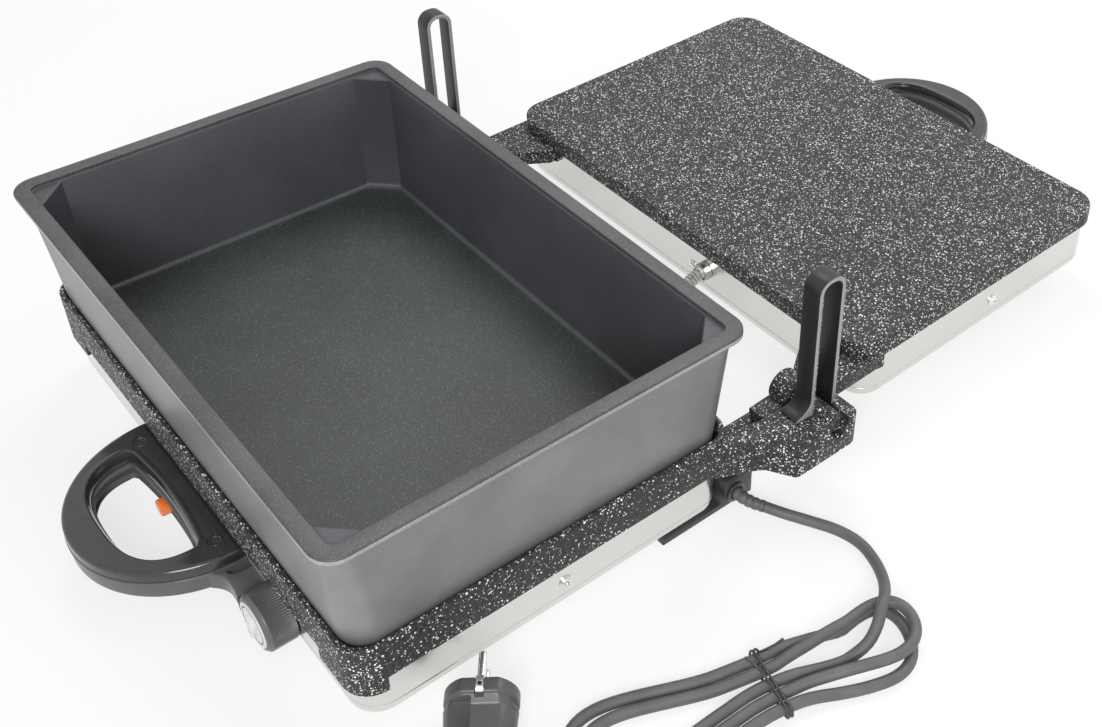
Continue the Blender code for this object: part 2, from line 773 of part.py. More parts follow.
def pin_notch_shape(side):
    """A notch with a V below, in which the pin's end rests."""
    bottom = HINGE_Z - PIN_RADIUS - CLEARANCE
    outline = [
        (HINGE_Y - NOTCH_HALF, EAR_TOP + OVERRUN),
        (HINGE_Y - NOTCH_HALF, bottom + NOTCH_POINT),
        (HINGE_Y, bottom - NOTCH_POINT),
        (HINGE_Y + NOTCH_HALF, bottom + NOTCH_POINT),
        (HINGE_Y + NOTCH_HALF, EAR_TOP + OVERRUN),
    ]
    ends = sorted((side * (EAR_INNER_X - OVERRUN), side * (EAR_OUTER_X + OVERRUN)))
    return prism(outline, "X", *ends)


def lower_screw_places():
    """Where the shell screws stand: a point on the shell's outer wall and the way that the head faces."""
    right = (LOWER_SHELL_HALF_X, LOWER_SCREW_Y, LOWER_SCREW_Z)
    left = (-LOWER_SHELL_HALF_X, LOWER_SCREW_Y, LOWER_SCREW_Z)
    rear = (LOWER_REAR_SCREW_X, LOWER_SHELL_HALF_Y, LOWER_SCREW_Z)
    return [(right, "X", 1), (left, "X", -1), (rear, "Y", 1)]


def lug_box(place, axis, way, top):
    """A tab below a plate, just inside the shell, that a shell screw bites into."""
    along = "XY".index(axis)
    across = 1 - along
    low = [0.0, 0.0, place[2] - SCREW_LUG_BELOW]
    high = [0.0, 0.0, top + CLEARANCE]
    near = place[along] - way * (SHELL_SHEET + CLEARANCE)
    far = near - way * SCREW_LUG_THICK
    low[along], high[along] = sorted((near, far))
    low[across] = place[across] - SCREW_LUG_HALF
    high[across] = place[across] + SCREW_LUG_HALF
    return box(low, high)


def lower_screw_lugs():
    return [lug_box(place, axis, way, TRAY_UNDER) for place, axis, way in lower_screw_places()]


def screw_hole_shape(screw, radius):
    place, axis, way = screw
    along = "XY".index(axis)
    centre = (place[1 - along], place[2])
    ends = sorted((place[along] + way * OVERRUN, place[along] - way * (SCREW_LENGTH + OVERRUN)))
    return cylinder(centre, radius, axis, *ends, steps=SMALL_STEPS)


def add_shell_screw(name, screw, carrier=None):
    """A pan head screw with a cross recess."""
    place, axis, way = screw
    along = "XY".index(axis)
    centre = (place[1 - along], place[2])
    face = place[along] + way * CLEARANCE
    head = face + way * SCREW_HEAD_DEPTH
    profile = [
        (SCREW_SHANK, face - way * SCREW_LENGTH),
        (SCREW_SHANK, face),
        (SCREW_HEAD_RADIUS, face),
        (SCREW_HEAD_RADIUS, face + way * SCREW_HEAD_DEPTH / 2),
        (SCREW_HEAD_RADIUS / 2, head),
    ]
    screw_object = add_object(name, turned(centre, axis, profile, SMALL_STEPS), "bright_steel", carrier)
    for turn in (0, 1):
        low = [0.0, 0.0, 0.0]
        high = [0.0, 0.0, 0.0]
        spans = (SCREW_RECESS_HALF, SCREW_RECESS_RADIUS) if turn else (SCREW_RECESS_RADIUS, SCREW_RECESS_HALF)
        across = 1 - along
        low[across], high[across] = centre[0] - spans[0], centre[0] + spans[0]
        low[2], high[2] = centre[1] - spans[1], centre[1] + spans[1]
        low[along], high[along] = sorted((head - way * SCREW_RECESS_DEPTH, head + way * OVERRUN))
        cut(screw_object, box(low, high), carrier)


def build_lower_shell():
    top = TRAY_UNDER - CLEARANCE
    shape = shell_shape(LOWER_SHELL_HALF_X, LOWER_SHELL_HALF_Y, FOOT_HEIGHT, top, 0.0)
    shell = add_object("lower_shell", shape, "bright_steel")
    for screw in lower_screw_places():
        cut(shell, screw_hole_shape(screw, SCREW_SHANK + CLEARANCE))
    front = -LOWER_SHELL_HALF_Y
    hole = cylinder((KNOB_X, KNOB_Z), SHAFT_HOLE, "Y", front - OVERRUN, front + OVERRUN, SMALL_STEPS)
    cut(shell, hole)
    rear = LOWER_SHELL_HALF_Y
    cut(shell, cylinder(wire_entry(), GLAND_BODY, "Y", rear - OVERRUN, rear + OVERRUN))
    for side in (1, -1):
        hole_centre = (side * FRONT_FOOT_X, FRONT_FOOT_Y)
        radius = FRONT_FOOT_WASHER / 2 + CLEARANCE
        cut(shell, cylinder(hole_centre, radius, "Z", 0.0, FOOT_HEIGHT + OVERRUN, SMALL_STEPS))


def wire_entry():
    """Where the wires pass from the cable box into the shell, in X and Z."""
    return (BOX_INNER_X + FOOT_WIDTH, BOX_HEIGHT / 2 + FOOT_HEIGHT)


def heater_route(half_x, half_y, height, middle_y):
    """A heater rod bent into a long loop, with both ends side by side."""
    x = half_x - HEATER_INSET_X
    y = half_y - HEATER_INSET_Y
    gap = HEATER_LEG_GAP / 2
    inner = x - HEATER_INSET_X
    corners = [(inner, gap), (x, gap), (x, y), (-x, y), (-x, -y), (x, -y), (x, -gap), (inner, -gap)]
    points = [Vector((*corners[0], 0.0))]
    for i in range(1, len(corners) - 1):
        before, here, after = [Vector((*corner, 0.0)) for corner in corners[i - 1 : i + 2]]
        bend = min(HEATER_BEND, (before - here).length / 2, (after - here).length / 2)
        start = here + (before - here).normalized() * bend
        end = here + (after - here).normalized() * bend
        for k in range(ARC_STEPS + 1):
            t = k / ARC_STEPS
            points.append(start.lerp(here, t).lerp(here.lerp(end, t), t))
    points.append(Vector((*corners[-1], 0.0)))
    return [Vector((p.x, p.y + middle_y, height)) for p in points]


def add_heater(name, half_x, half_y, under, middle_y, carrier=None):
    route = heater_route(half_x, half_y, under - CLEARANCE - HEATER_RADIUS, middle_y)
    rings = sweep_rings(route, [HEATER_RADIUS] * len(route), SMALL_STEPS - ARC_STEPS)
    add_object(name, loft(rings), "heater_steel", carrier)


def add_reflector(name, half_x, half_y, under, middle_y, carrier=None):
    """A thin tray that closes the heater in below the plate."""
    outer = (half_x - REFLECTOR_INSET, half_y - REFLECTOR_INSET)
    top = under - CLEARANCE
    bottom = under - REFLECTOR_DEPTH
    inner_corner = REFLECTOR_CORNER - REFLECTOR_SHEET
    inner = [size - REFLECTOR_SHEET for size in outer]
    loops = [
        level(corner_outline(*outer, REFLECTOR_CORNER), bottom, middle_y),
        level(corner_outline(*outer, REFLECTOR_CORNER), top, middle_y),
        level(corner_outline(*inner, inner_corner), top, middle_y),
        level(corner_outline(*inner, inner_corner), bottom + REFLECTOR_SHEET, middle_y),
    ]
    add_object(name, loft(loops), "plain_steel", carrier)


def build_uprights():
    """Each upright is a strip bent into a narrow arch, with a toe on its front leg."""
    front = HINGE_Y - UPRIGHT_SPREAD / 2
    rear = HINGE_Y + UPRIGHT_SPREAD / 2
    foot = EAR_TOP - UPRIGHT_TENON
    seat = EAR_TOP + CLEARANCE
    inner_bend = UPRIGHT_BEND - UPRIGHT_STRIP
    bend_z = UPRIGHT_HEIGHT - UPRIGHT_BEND
    outer = arch_arc(front + UPRIGHT_BEND, rear - UPRIGHT_BEND, bend_z, UPRIGHT_BEND)
    inner = arch_arc(front + UPRIGHT_BEND, rear - UPRIGHT_BEND, bend_z, inner_bend)
    outline = [
        (front, foot),
        (front, seat),
        (front - UPRIGHT_TOE, seat),
        (front - UPRIGHT_TOE + UPRIGHT_STRIP / 2, seat + UPRIGHT_STRIP / 2),
        (front, seat + UPRIGHT_TOE),
        *outer,
        (rear, foot),
        (rear - UPRIGHT_STRIP, foot),
        *reversed(inner),
        (front + UPRIGHT_STRIP, foot),
    ]
    for label, side in (("left", -1), ("right", 1)):
        low = side * UPRIGHT_X - UPRIGHT_WIDTH / 2
        high = side * UPRIGHT_X + UPRIGHT_WIDTH / 2
        add_object(f"upright_{label}", prism(outline, "X", low, high), "satin_black")


def arch_arc(front_centre, rear_centre, height, radius):
    """The arch's top, from the front leg over to the rear leg."""
    points = []
    for i in range(2 * ARC_STEPS + 2):
        over = i > ARC_STEPS
        angle = math.pi - math.pi / 2 * (i - (1 if over else 0)) / ARC_STEPS
        centre = rear_centre if over else front_centre
        points.append((centre + radius * math.cos(angle), height + radius * math.sin(angle)))
    return points


def build_pan():
    """The loose deep pan: a flat rim, chamfered corners inside and small ledges below the rim."""
    carrier = add_empty("pan_seat", (0.0, 0.0, TRAY_BED + CLEARANCE))
    half_x = PAN_LENGTH / 2
    half_y = PAN_WIDTH / 2
    bottom = TRAY_BED + CLEARANCE
    under_rim = PAN_RIM_TOP - PAN_RIM_THICK
    floor = bottom + PAN_WALL
    loops = []
    taper = PAN_UNDER_RIM + PAN_TAPER
    for inset, lift in rounded_edge(PAN_BOTTOM_RADIUS):
        deep = taper + inset
        outline = corner_outline(half_x - deep, half_y - deep, PAN_BOTTOM_CORNER - inset)
        loops.append(level(outline, bottom + lift))
    neck = corner_outline(half_x - PAN_UNDER_RIM, half_y - PAN_UNDER_RIM, PAN_RIM_CORNER)
    loops.append(level(neck, under_rim))
    loops.append(level(corner_outline(half_x, half_y, PAN_RIM_CORNER), under_rim))
    loops.append(level(corner_outline(half_x, half_y, PAN_RIM_CORNER), PAN_RIM_TOP - CAST_EDGE))
    edge = corner_outline(half_x - CAST_EDGE, half_y - CAST_EDGE, PAN_RIM_CORNER - CAST_EDGE)
    loops.append(level(edge, PAN_RIM_TOP))
    mouth = (half_x - PAN_RIM_WIDTH, half_y - PAN_RIM_WIDTH)
    loops.append(level(corner_outline(*mouth, PAN_INNER_CORNER), PAN_RIM_TOP))
    loops.append(level(corner_outline(*mouth, PAN_INNER_CORNER), PAN_RIM_TOP - PAN_LEDGE_DEPTH))
    loops.append(level(corner_outline(*mouth, PAN_CHAMFER, True), PAN_RIM_TOP - PAN_LEDGE_DEPTH - CAST_EDGE))
    deep = taper + PAN_WALL
    floor_outline = corner_outline(half_x - deep, half_y - deep, PAN_CHAMFER, True)
    loops.append(level(floor_outline, floor + PAN_WALL))
    deep += PAN_WALL
    loops.append(level(corner_outline(half_x - deep, half_y - deep, PAN_CHAMFER, True), floor))
    add_object("deep_pan", loft(loops), "pan_coating", carrier)


def handle_outline(half, start, reach, power, steps):
    """A D: straight on the grill's side, then an arch out to its reach."""
    points = []
    for i in range(steps + 1):
        angle = math.pi * i / steps
        x = half * math.copysign(abs(math.cos(angle)) ** power, math.cos(angle))
        points.append((x, start + (reach - start) * math.sin(angle) ** power))
    return points


def handle_points(points, edge_y, way, height):
    return [Vector((x, edge_y + way * out, height)) for x, out in points]


def shrunk(points, amount, middle):
    """Draws an outline in towards a point by about the given amount."""
    moved = []
    for x, out in points:
        way = Vector((x - middle[0], out - middle[1]))
        share = 1 - amount / way.length
        moved.append((middle[0] + way.x * share, middle[1] + way.y * share))
    return moved


def build_handle(prefix, edge_y, shell_y, way, top, carrier=None, bridge=False):
    """A D handle of two mouldings: a cover all round and a base below the grip."""
    steps = 22
    root = (shell_y - edge_y) * way + CLEARANCE
    middle = (0.0, HANDLE_REACH / 2)
    outer = handle_outline(HANDLE_HALF, 0.0, HANDLE_REACH, HANDLE_ARCH_SHARE, steps)
    outer = [(HANDLE_HALF, root), *outer, (-HANDLE_HALF, root)]
    hole_sizes = (HANDLE_HOLE_HALF, HANDLE_HOLE_START, HANDLE_HOLE_REACH)
    hole = handle_outline(*hole_sizes, HANDLE_HOLE_SHARE, steps)
    hole = [hole[0], *hole, hole[-1]]
    lift = HANDLE_EDGE / 2
    hole[0] = (hole[0][0] - lift, hole[0][1] - lift)
    hole[-1] = (hole[-1][0] + lift, hole[-1][1] - lift)
    seam = top - HANDLE_COVER
    lips = [
        (outer, seam),
        (outer, top - HANDLE_EDGE),
        (shrunk(outer, HANDLE_EDGE / 2, middle), top - HANDLE_EDGE / 3),
        (shrunk(outer, HANDLE_EDGE * 1.5, middle), top),
        (shrunk(hole, -HANDLE_EDGE, middle), top),
        (hole, top - HANDLE_EDGE / 2),
        (hole, seam),
    ]
    loops = [handle_points(points, edge_y, way, height) for points, height in lips]
    cover = add_object(f"{prefix}_handle_cover", loft(loops, cyclic=True), "gloss_black", carrier)
    base_top = seam - CLEARANCE
    base_bottom = base_top - HANDLE_BASE
    lips = [
        (outer, base_top),
        (outer, base_bottom + HANDLE_EDGE),
        (shrunk(outer, HANDLE_EDGE, middle), base_bottom),
        (shrunk(hole, -HANDLE_EDGE, middle), base_bottom),
        (hole, base_bottom + HANDLE_EDGE),
        (hole, base_top),
    ]
    loops = [handle_points(points, edge_y, way, height) for points, height in lips]
    base = add_object(f"{prefix}_handle_base", loft(loops, cyclic=True), "gloss_black", carrier)
    if bridge:
        fuse(base, bridge_shape(edge_y, way, root, base_top))
        knob_room = (edge_y - BRIDGE_SWEEP, edge_y + BRIDGE_SWEEP)
        cut(base, cylinder((KNOB_X, KNOB_Z), KNOB_RADIUS + 2 * FIT, "Y", *knob_room))
        cut(base, lamp_shape(CLEARANCE, OVERRUN))
    for label, side in (("left", -1), ("right", 1)):
        centre = (side * HANDLE_SCREW_X, edge_y + way * HANDLE_SCREW_OUT)
        add_handle_screw(f"{prefix}_handle_screw_{label}", centre, top, carrier)
        seat = top - HANDLE_SCREW_RECESS - HANDLE_SCREW_HEAD_DEPTH - CLEARANCE
        wide = cylinder(centre, HANDLE_SCREW_HEAD + CLEARANCE, "Z", seat, top + OVERRUN, SMALL_STEPS)
        cut(cover, wide, carrier)
        for moulding in (cover, base):
            cut(moulding, handle_screw_bore(centre, top), carrier)


def handle_screw_bore(centre, top):
    end = top - HANDLE_SCREW_RECESS - HANDLE_SCREW_LENGTH - CLEARANCE
    return cylinder(centre, HANDLE_SCREW_SHANK + CLEARANCE, "Z", end, top + OVERRUN, SMALL_STEPS)


def add_handle_screw(name, centre, top, carrier):
    head = top - HANDLE_SCREW_RECESS
    profile = [
        (HANDLE_SCREW_SHANK, head - HANDLE_SCREW_LENGTH),
        (HANDLE_SCREW_SHANK, head - HANDLE_SCREW_HEAD_DEPTH),
        (HANDLE_SCREW_HEAD, head - HANDLE_SCREW_HEAD_DEPTH),
        (HANDLE_SCREW_HEAD, head),
    ]
    add_object(name, turned(centre, "Z", profile, SMALL_STEPS), "satin_black", carrier)


def bridge_shape(edge_y, way, root, base_top):
    """The arm of the handle's base that runs to the knob. The knob's round room is cut from it."""
    left = KNOB_X - KNOB_RADIUS + CAST_EDGE
    start = HANDLE_HALF - HANDLE_EDGE
    plan = [
        (start - BRIDGE_ROOT, root),
        (start - BRIDGE_ROOT, BRIDGE_SWEEP),
        (start, BRIDGE_SWEEP),
        (start + HANDLE_EDGE * 3, BRIDGE_REACH + CAST_EDGE),
        (left, BRIDGE_REACH),
        (left, root),
    ]
    outline = [(x, edge_y + way * out) for x, out in plan]
    bottom = base_top - HANDLE_BASE
    return prism(outline, "Z", bottom + CAST_EDGE, base_top - CAST_EDGE / 4)


def knob_back_y():
    return -LOWER_SHELL_HALF_Y - FIT


def build_knob():
    """A ridged knob that turns on the thermostat's shaft, with a bright disc in its face."""
    back = knob_back_y()
    front = back - KNOB_DEPTH
    carrier = add_empty("knob_axis", (KNOB_X, back, KNOB_Z))
    steps = 2 * KNOB_RIDGES
    centre = (KNOB_X, KNOB_Z)

    def knob_ring(radius, along, ridged=False):
        points = []
        for i in range(steps):
            angle = 2 * math.pi * i / steps
            reach = radius - (KNOB_RIDGE_DEPTH if ridged and i % 2 else 0.0)
            x = centre[0] + reach * math.cos(angle)
            points.append(Vector((x, along, centre[1] + reach * math.sin(angle))))
        return points

    loops = [
        knob_ring(KNOB_DISC_RADIUS + CLEARANCE, front + KNOB_DISC_SEAT),
        knob_ring(KNOB_DISC_RADIUS + CLEARANCE, front),
        knob_ring(KNOB_RADIUS - KNOB_BEVEL, front),
        knob_ring(KNOB_RADIUS, front + KNOB_BEVEL),
        knob_ring(KNOB_RADIUS, front + KNOB_BEVEL * 1.5, True),
        knob_ring(KNOB_RADIUS, back, True),
        knob_ring(SHAFT_RADIUS + SHAFT_FIT, back),
        knob_ring(SHAFT_RADIUS + SHAFT_FIT, back - KNOB_BORE_DEPTH),
    ]
    add_object("thermostat_knob", loft(loops), "satin_black", carrier)
    disc_back = front + KNOB_DISC_SEAT - CLEARANCE
    disc_front = disc_back - KNOB_DISC_THICK
    profile = [
        (KNOB_DISC_RADIUS, disc_back),
        (KNOB_DISC_RADIUS, disc_front + CAST_EDGE / 2),
        (KNOB_DISC_RADIUS - CAST_EDGE / 2, disc_front),
    ]
    add_object("knob_face_disc", turned(centre, "Y", profile), "plain_steel", carrier)
    seat = -LOWER_SHELL_HALF_Y + SHELL_SHEET + CLEARANCE
    shaft_start = back - KNOB_BORE_DEPTH + CLEARANCE
    shaft = cylinder(centre, SHAFT_RADIUS, "Y", shaft_start, seat + SHAFT_SEAT, SMALL_STEPS)
    add_object("thermostat_shaft", shaft, "plain_steel", carrier)
    low = (KNOB_X - THERMOSTAT_HALF_WIDTH, seat, TRAY_UNDER - CLEARANCE - THERMOSTAT_DROP)
    high = (KNOB_X + THERMOSTAT_HALF_WIDTH, seat + THERMOSTAT_DEPTH, TRAY_UNDER - CLEARANCE)
    thermostat = add_object("thermostat", box(low, high), "cream_plastic")
    bore_end = seat + SHAFT_SEAT + CLEARANCE
    cut(thermostat, cylinder(centre, SHAFT_RADIUS + SHAFT_FIT, "Y", seat - OVERRUN, bore_end, SMALL_STEPS))


def lamp_shape(spare, below):
    """The lamp's lens, or with spare room round it the pocket that holds it."""
    wall_y = -TRAY_WIDTH / 2 - HANDLE_HOLE_START
    back = wall_y + LAMP_SEAT + spare
    front = wall_y - LAMP_PROUD - spare
    half = LAMP_HALF + spare
    outline = [
        (LAMP_X - half, back),
        (LAMP_X - half, front + CAST_EDGE),
        (LAMP_X - half + CAST_EDGE, front),
        (LAMP_X + half - CAST_EDGE, front),
        (LAMP_X + half, front + CAST_EDGE),
        (LAMP_X + half, back),
    ]
    return prism(outline, "Z", LAMP_BOTTOM - below, LAMP_BOTTOM + LAMP_HEIGHT + spare)


def build_rear_feet():
    """Black mouldings that cradle the shell's rear edge. The right one is also the cable box."""
    rear = LOWER_SHELL_HALF_Y + CLEARANCE
    under = FOOT_HEIGHT - CLEARANCE
    round_centre = (LOWER_SHELL_HALF_Y - SHELL_BOTTOM_RADIUS, FOOT_HEIGHT + SHELL_BOTTOM_RADIUS)
    round_radius = SHELL_BOTTOM_RADIUS + CLEARANCE
    cradle = []
    for i in range(ARC_STEPS + 1):
        angle = math.pi / 2 * i / ARC_STEPS
        way = (math.sin(angle), -math.cos(angle))
        cradle.append([round_centre[k] + round_radius * way[k] for k in (0, 1)])
    outline = [
        (FOOT_TOE_Y, 0.0),
        (BOX_BACK_Y, 0.0),
        (BOX_BACK_Y, BOX_HEIGHT),
        (rear, BOX_HEIGHT),
        *reversed(cradle),
        (FOOT_TOE_Y + FOOT_TOE_SLOPE, under),
    ]
    shape = prism(outline, "X", BOX_INNER_X, BOX_OUTER_X)
    cable_box = add_object("cable_box", shape, "satin_black")
    hollow_low = (BOX_INNER_X + BOX_WALL, rear + BOX_WALL, BOX_WALL)
    hollow_high = (BOX_OUTER_X - BOX_WALL, BOX_BACK_Y - BOX_WALL, BOX_HEIGHT + OVERRUN)
    cut(cable_box, box(hollow_low, hollow_high))
    gland_ends = (BOX_OUTER_X - BOX_WALL - OVERRUN, BOX_OUTER_X + OVERRUN)
    cut(cable_box, cylinder((GLAND_Y, GLAND_Z), GLAND_BODY + CLEARANCE, "X", *gland_ends))
    conduit_ends = (BOX_INNER_X - OVERRUN, BOX_INNER_X + BOX_WALL + CLEARANCE)
    cut(cable_box, cylinder(conduit_port(), CONDUIT_BORE, "X", *conduit_ends, SMALL_STEPS))
    wire_ends = (rear - OVERRUN, rear + BOX_WALL + OVERRUN)
    cut(cable_box, cylinder(wire_entry(), GLAND_BODY / 2, "Y", *wire_ends, SMALL_STEPS))
    low = (BOX_INNER_X, rear, BOX_HEIGHT + CLEARANCE)
    high = (BOX_OUTER_X, BOX_BACK_Y, BOX_HEIGHT + CLEARANCE + BOX_COVER)
    add_object("cable_box_cover", box(low, high), "satin_black")
    left = prism(outline, "X", -BOX_OUTER_X, -BOX_OUTER_X + FOOT_WIDTH)
    add_object("rear_foot_left", left, "satin_black")


def build_front_feet():
    """Rubber feet whose stems snap into the shell's floor."""
    for label, side in (("left", -1), ("right", 1)):
        centre = (side * FRONT_FOOT_X, FRONT_FOOT_Y)
        top = FOOT_HEIGHT - CLEARANCE
        stem = FRONT_FOOT_WASHER / 2
        profile = [
            (FRONT_FOOT_RADIUS - CAST_EDGE, 0.0),
            (FRONT_FOOT_RADIUS, top),
            (stem, top),
            (stem, FOOT_HEIGHT + SHELL_SHEET + CLEARANCE),
            (stem + CAST_EDGE, FOOT_HEIGHT + SHELL_SHEET + CLEARANCE),
            (stem - CAST_EDGE, FOOT_HEIGHT + SHELL_SHEET + FRONT_FOOT_WALL),
        ]
        add_object(f"front_foot_{label}", turned(centre, "Z", profile), "satin_black")


def build_cable_entry():
    """The gland in the box's side, the lead's strain relief and the terminal block inside."""
    face = BOX_OUTER_X + CLEARANCE
    centre = (GLAND_Y, GLAND_Z)
    profile = [
        (GLAND_BORE, face - BOX_WALL),
        (GLAND_BODY, face - BOX_WALL),
        (GLAND_BODY, face),
        (GLAND_FLANGE, face),
        (GLAND_FLANGE, face + GLAND_FLANGE_THICK / 2),
        (GLAND_FLANGE - GLAND_FLANGE_THICK / 2, face + GLAND_FLANGE_THICK),
        (GLAND_BORE, face + GLAND_FLANGE_THICK),
    ]
    add_object("cable_gland", turned(centre, "X", profile, cyclic=True), "gloss_black")
    route = relief_points()
    radii = []
    for i in range(len(route)):
        radius = RELIEF_START_RADIUS + (RELIEF_END_RADIUS - RELIEF_START_RADIUS) * i / (len(route) - 1)
        radii.append(radius - (RELIEF_RIB if i % 2 else 0.0))
    add_object("cord_strain_relief", loft(sweep_rings(route, radii, SMALL_STEPS)), "cord_rubber")
    rear = LOWER_SHELL_HALF_Y + CLEARANCE
    block_y = (rear + BOX_BACK_Y) / 2
    low = (BOX_INNER_X + BOX_WALL + FIT, block_y - BLOCK_WIDTH / 2, BOX_WALL + CLEARANCE)
    high = (low[0] + BLOCK_LENGTH, block_y + BLOCK_WIDTH / 2, BOX_WALL + CLEARANCE + BLOCK_HEIGHT)
    add_object("terminal_block", box(low, high), "cream_plastic")


def relief_points():
    """The relief leaves the gland square and then bends with the lead."""
    route = [
        Vector((BOX_OUTER_X - RELIEF_INSIDE, GLAND_Y, GLAND_Z)),
        Vector((BOX_OUTER_X - RELIEF_INSIDE / 2, GLAND_Y, GLAND_Z)),
        Vector((BOX_OUTER_X + GLAND_FLANGE_THICK, GLAND_Y, GLAND_Z)),
        *from_gland(RELIEF_ROUTE),
    ]
    return smooth_route(route, RELIEF_STEP)


def from_gland(points):
    """Places a route's points, which count from the gland along X and Y."""
    return [Vector((BOX_OUTER_X + x, GLAND_Y + y, z)) for x, y, z in points]


# Mains lead


def hank_point(angle):
    """A point of the hank's centre line.

    The loops widen by one lead a turn. At the end near the grill's back the first loop lies on the second.
    """
    turns = angle / (2 * math.pi)
    cosine = math.cos(angle)
    sine = math.sin(angle)
    near = cosine > 0
    stacking = math.pi / 2 * min(1.0, max(0.0, HANK_RISE_HASTE_SHARE * (cosine - HANK_RISE_START_SHARE)))
    side_share = (1 + sine) / 2
    spread_share = side_share + (1 - side_share) * math.cos(stacking)
    growth = HANK_STEP * turns
    reach = HANK_NEAR_HALF - HANK_NEAR_SHORTENING * turns if near else HANK_FAR_HALF + growth
    lobe = HANK_LOBE + HANK_LOBE_STEP * turns * spread_share
    along = reach * cosine
    across = (HANK_WAIST + growth * spread_share + lobe * cosine**2) * sine
    height = CORD_RADIUS + HANK_WAIST_LIFT * math.exp(-((along / HANK_LIFT_SPREAD) ** 4))
    if near and math.pi * 1.5 < angle < math.pi * 2.5:
        height += HANK_RISE * math.sin(stacking)
    way, side = hank_ways()
    return Vector((HANK_X, HANK_Y, height)) + way * along + side * across


def hank_ways():
    """Along the hank, and across it away from the grill."""
    way = Vector((math.cos(HANK_ANGLE), math.sin(HANK_ANGLE), 0.0))
    return way, Vector((way.y, -way.x, 0.0))


def hank_points():
    turns = (HANK_END - HANK_START) / (2 * math.pi)
    count = round(turns * HANK_LOOP_POINTS)
    return [hank_point(HANK_START + (HANK_END - HANK_START) * i / count) for i in range(count + 1)]


def lead_route():
    """From the strain relief, over the hank's stacked loops and down into its waist."""
    hank = hank_points()
    way = (hank[1] - hank[0]).normalized()
    end = hank[0] - way * CLEARANCE
    relief = relief_points()
    out = (relief[-1] - relief[-2]).normalized()
    return [
        relief[-1] + out * CLEARANCE,
        relief[-1] + out * CORD_STEP,
        *from_gland(LEAD_ROUTE),
        end - way * HANK_RUN_IN,
        end - way * HANK_RUN_IN / 2,
        end,
    ]


def tail_route():
    """From the hank's last run round to the back of the plug."""
    hank = hank_points()
    way = (hank[-1] - hank[-2]).normalized()
    start = hank[-1] + way * CLEARANCE
    back = plug_frame() @ Vector((PLUG_DISC / 2 - PLUG_LENGTH - CLEARANCE, 0.0, 0.0))
    out = plug_frame() @ Vector((PLUG_DISC / 2 - PLUG_LENGTH - PLUG_RUN_OUT, 0.0, 0.0))
    return [
        start,
        start + way * HANK_RUN_IN / 2,
        start + way * HANK_RUN_IN,
        *from_gland(TAIL_ROUTE),
        out,
        back,
    ]


def build_cord():
    """The lead in three stretches: from the box to the hank, the hank, and on to the plug."""
    hank = hank_points()
    gap = least_gap(hank, CORD_RADIUS, HANK_LOOP_POINTS // 3)
    print("hank: least gap to itself", round(gap * 1000, 2), "mm")
    add_cord("power_cord", smooth_route(lead_route(), CORD_STEP, CORD_RADIUS), CORD_RADIUS, "cord_rubber", 2)
    add_cord("cord_hank", hank, CORD_RADIUS, "cord_rubber", 1)
    add_cord("cord_tail", smooth_route(tail_route(), CORD_STEP, CORD_RADIUS), CORD_RADIUS, "cord_rubber", 2)
    build_tie()


def build_tie():
    """A plastic covered wire wound round the waist, with its two ends twisted up."""
    way, side = hank_ways()
    strands = [hank_point(math.pi * (0.5 + i)) for i in range(HANK_WAIST_STRANDS)]
    places = [(point - Vector((HANK_X, HANK_Y, 0.0))).dot(side) for point in strands]
    middle = (min(places) + max(places)) / 2
    outside = CORD_RADIUS + TIE_RADIUS + FIT
    reach = (max(places) - min(places)) / 2 + outside + 2 * FIT
    centre = Vector((HANK_X, HANK_Y, CORD_RADIUS + HANK_WAIST_LIFT)) + side * middle
    loop = tie_loop(reach, outside)
    wound = loop * TIE_TURNS
    points = []
    for i, (across, up) in enumerate(wound):
        shift = way * (TIE_PITCH * (i / len(wound) - 0.5))
        points.append(centre + side * across + Vector((0.0, 0.0, up)) + shift)
    first, last = points[0], points[-1]
    lift = Vector((0.0, 0.0, TIE_TAIL / 3))
    start_tail = [
        first + lift * 1.6 - side * TIE_TAIL - way * TIE_TAIL / 2,
        first + lift * 1.2 - side * TIE_TAIL / 2 - way * TIE_TAIL / 4,
    ]
    end_tail = [
        last + lift + side * TIE_TAIL / 4 + way * TIE_TAIL / 3,
        last + lift * 1.5 + side * TIE_TAIL / 5 + way * TIE_TAIL,
    ]
    points = [*start_tail, *points, *end_tail]
    rings = sweep_rings(points, [TIE_RADIUS] * len(points), TIE_SIDES)
    add_object("cord_tie", loft(rings), "satin_black")


def tie_loop(reach, height):
    """One turn round the strands: flat above and below, half round at both ends."""
    flat = reach - height
    points = [(0.0, height)]
    for side in (1, -1):
        for i in range(TIE_ARC_STEPS + 1):
            angle = math.pi * i / TIE_ARC_STEPS
            points.append((side * (flat + height * math.sin(angle)), side * height * math.cos(angle)))
        if side == 1:
            points.append((0.0, -height))
    return points


def plug_frame():
    """Along the plug's pins, across it and up, from the disc's middle."""
    turn = Matrix.Rotation(PLUG_ANGLE, 4, "Z") @ Matrix.Rotation(-PLUG_TILT, 4, "Y")
    height = PLUG_FLAT * math.cos(PLUG_TILT) + PLUG_DISC / 2 * math.sin(PLUG_TILT)
    return Matrix.Translation(Vector((BOX_OUTER_X + PLUG_OUT, GLAND_Y - PLUG_FORWARD, height))) @ turn


def plug_loop(along, half_y, half_z, flat=math.inf, steps=ROUND_STEPS):
    """A ring across the plug, round but for the flats above and below."""
    points = []
    for i in range(steps):
        angle = 2 * math.pi * i / steps
        z = min(max(half_z * math.sin(angle), -flat), flat)
        points.append(Vector((along, half_y * math.cos(angle), z)))
    return points


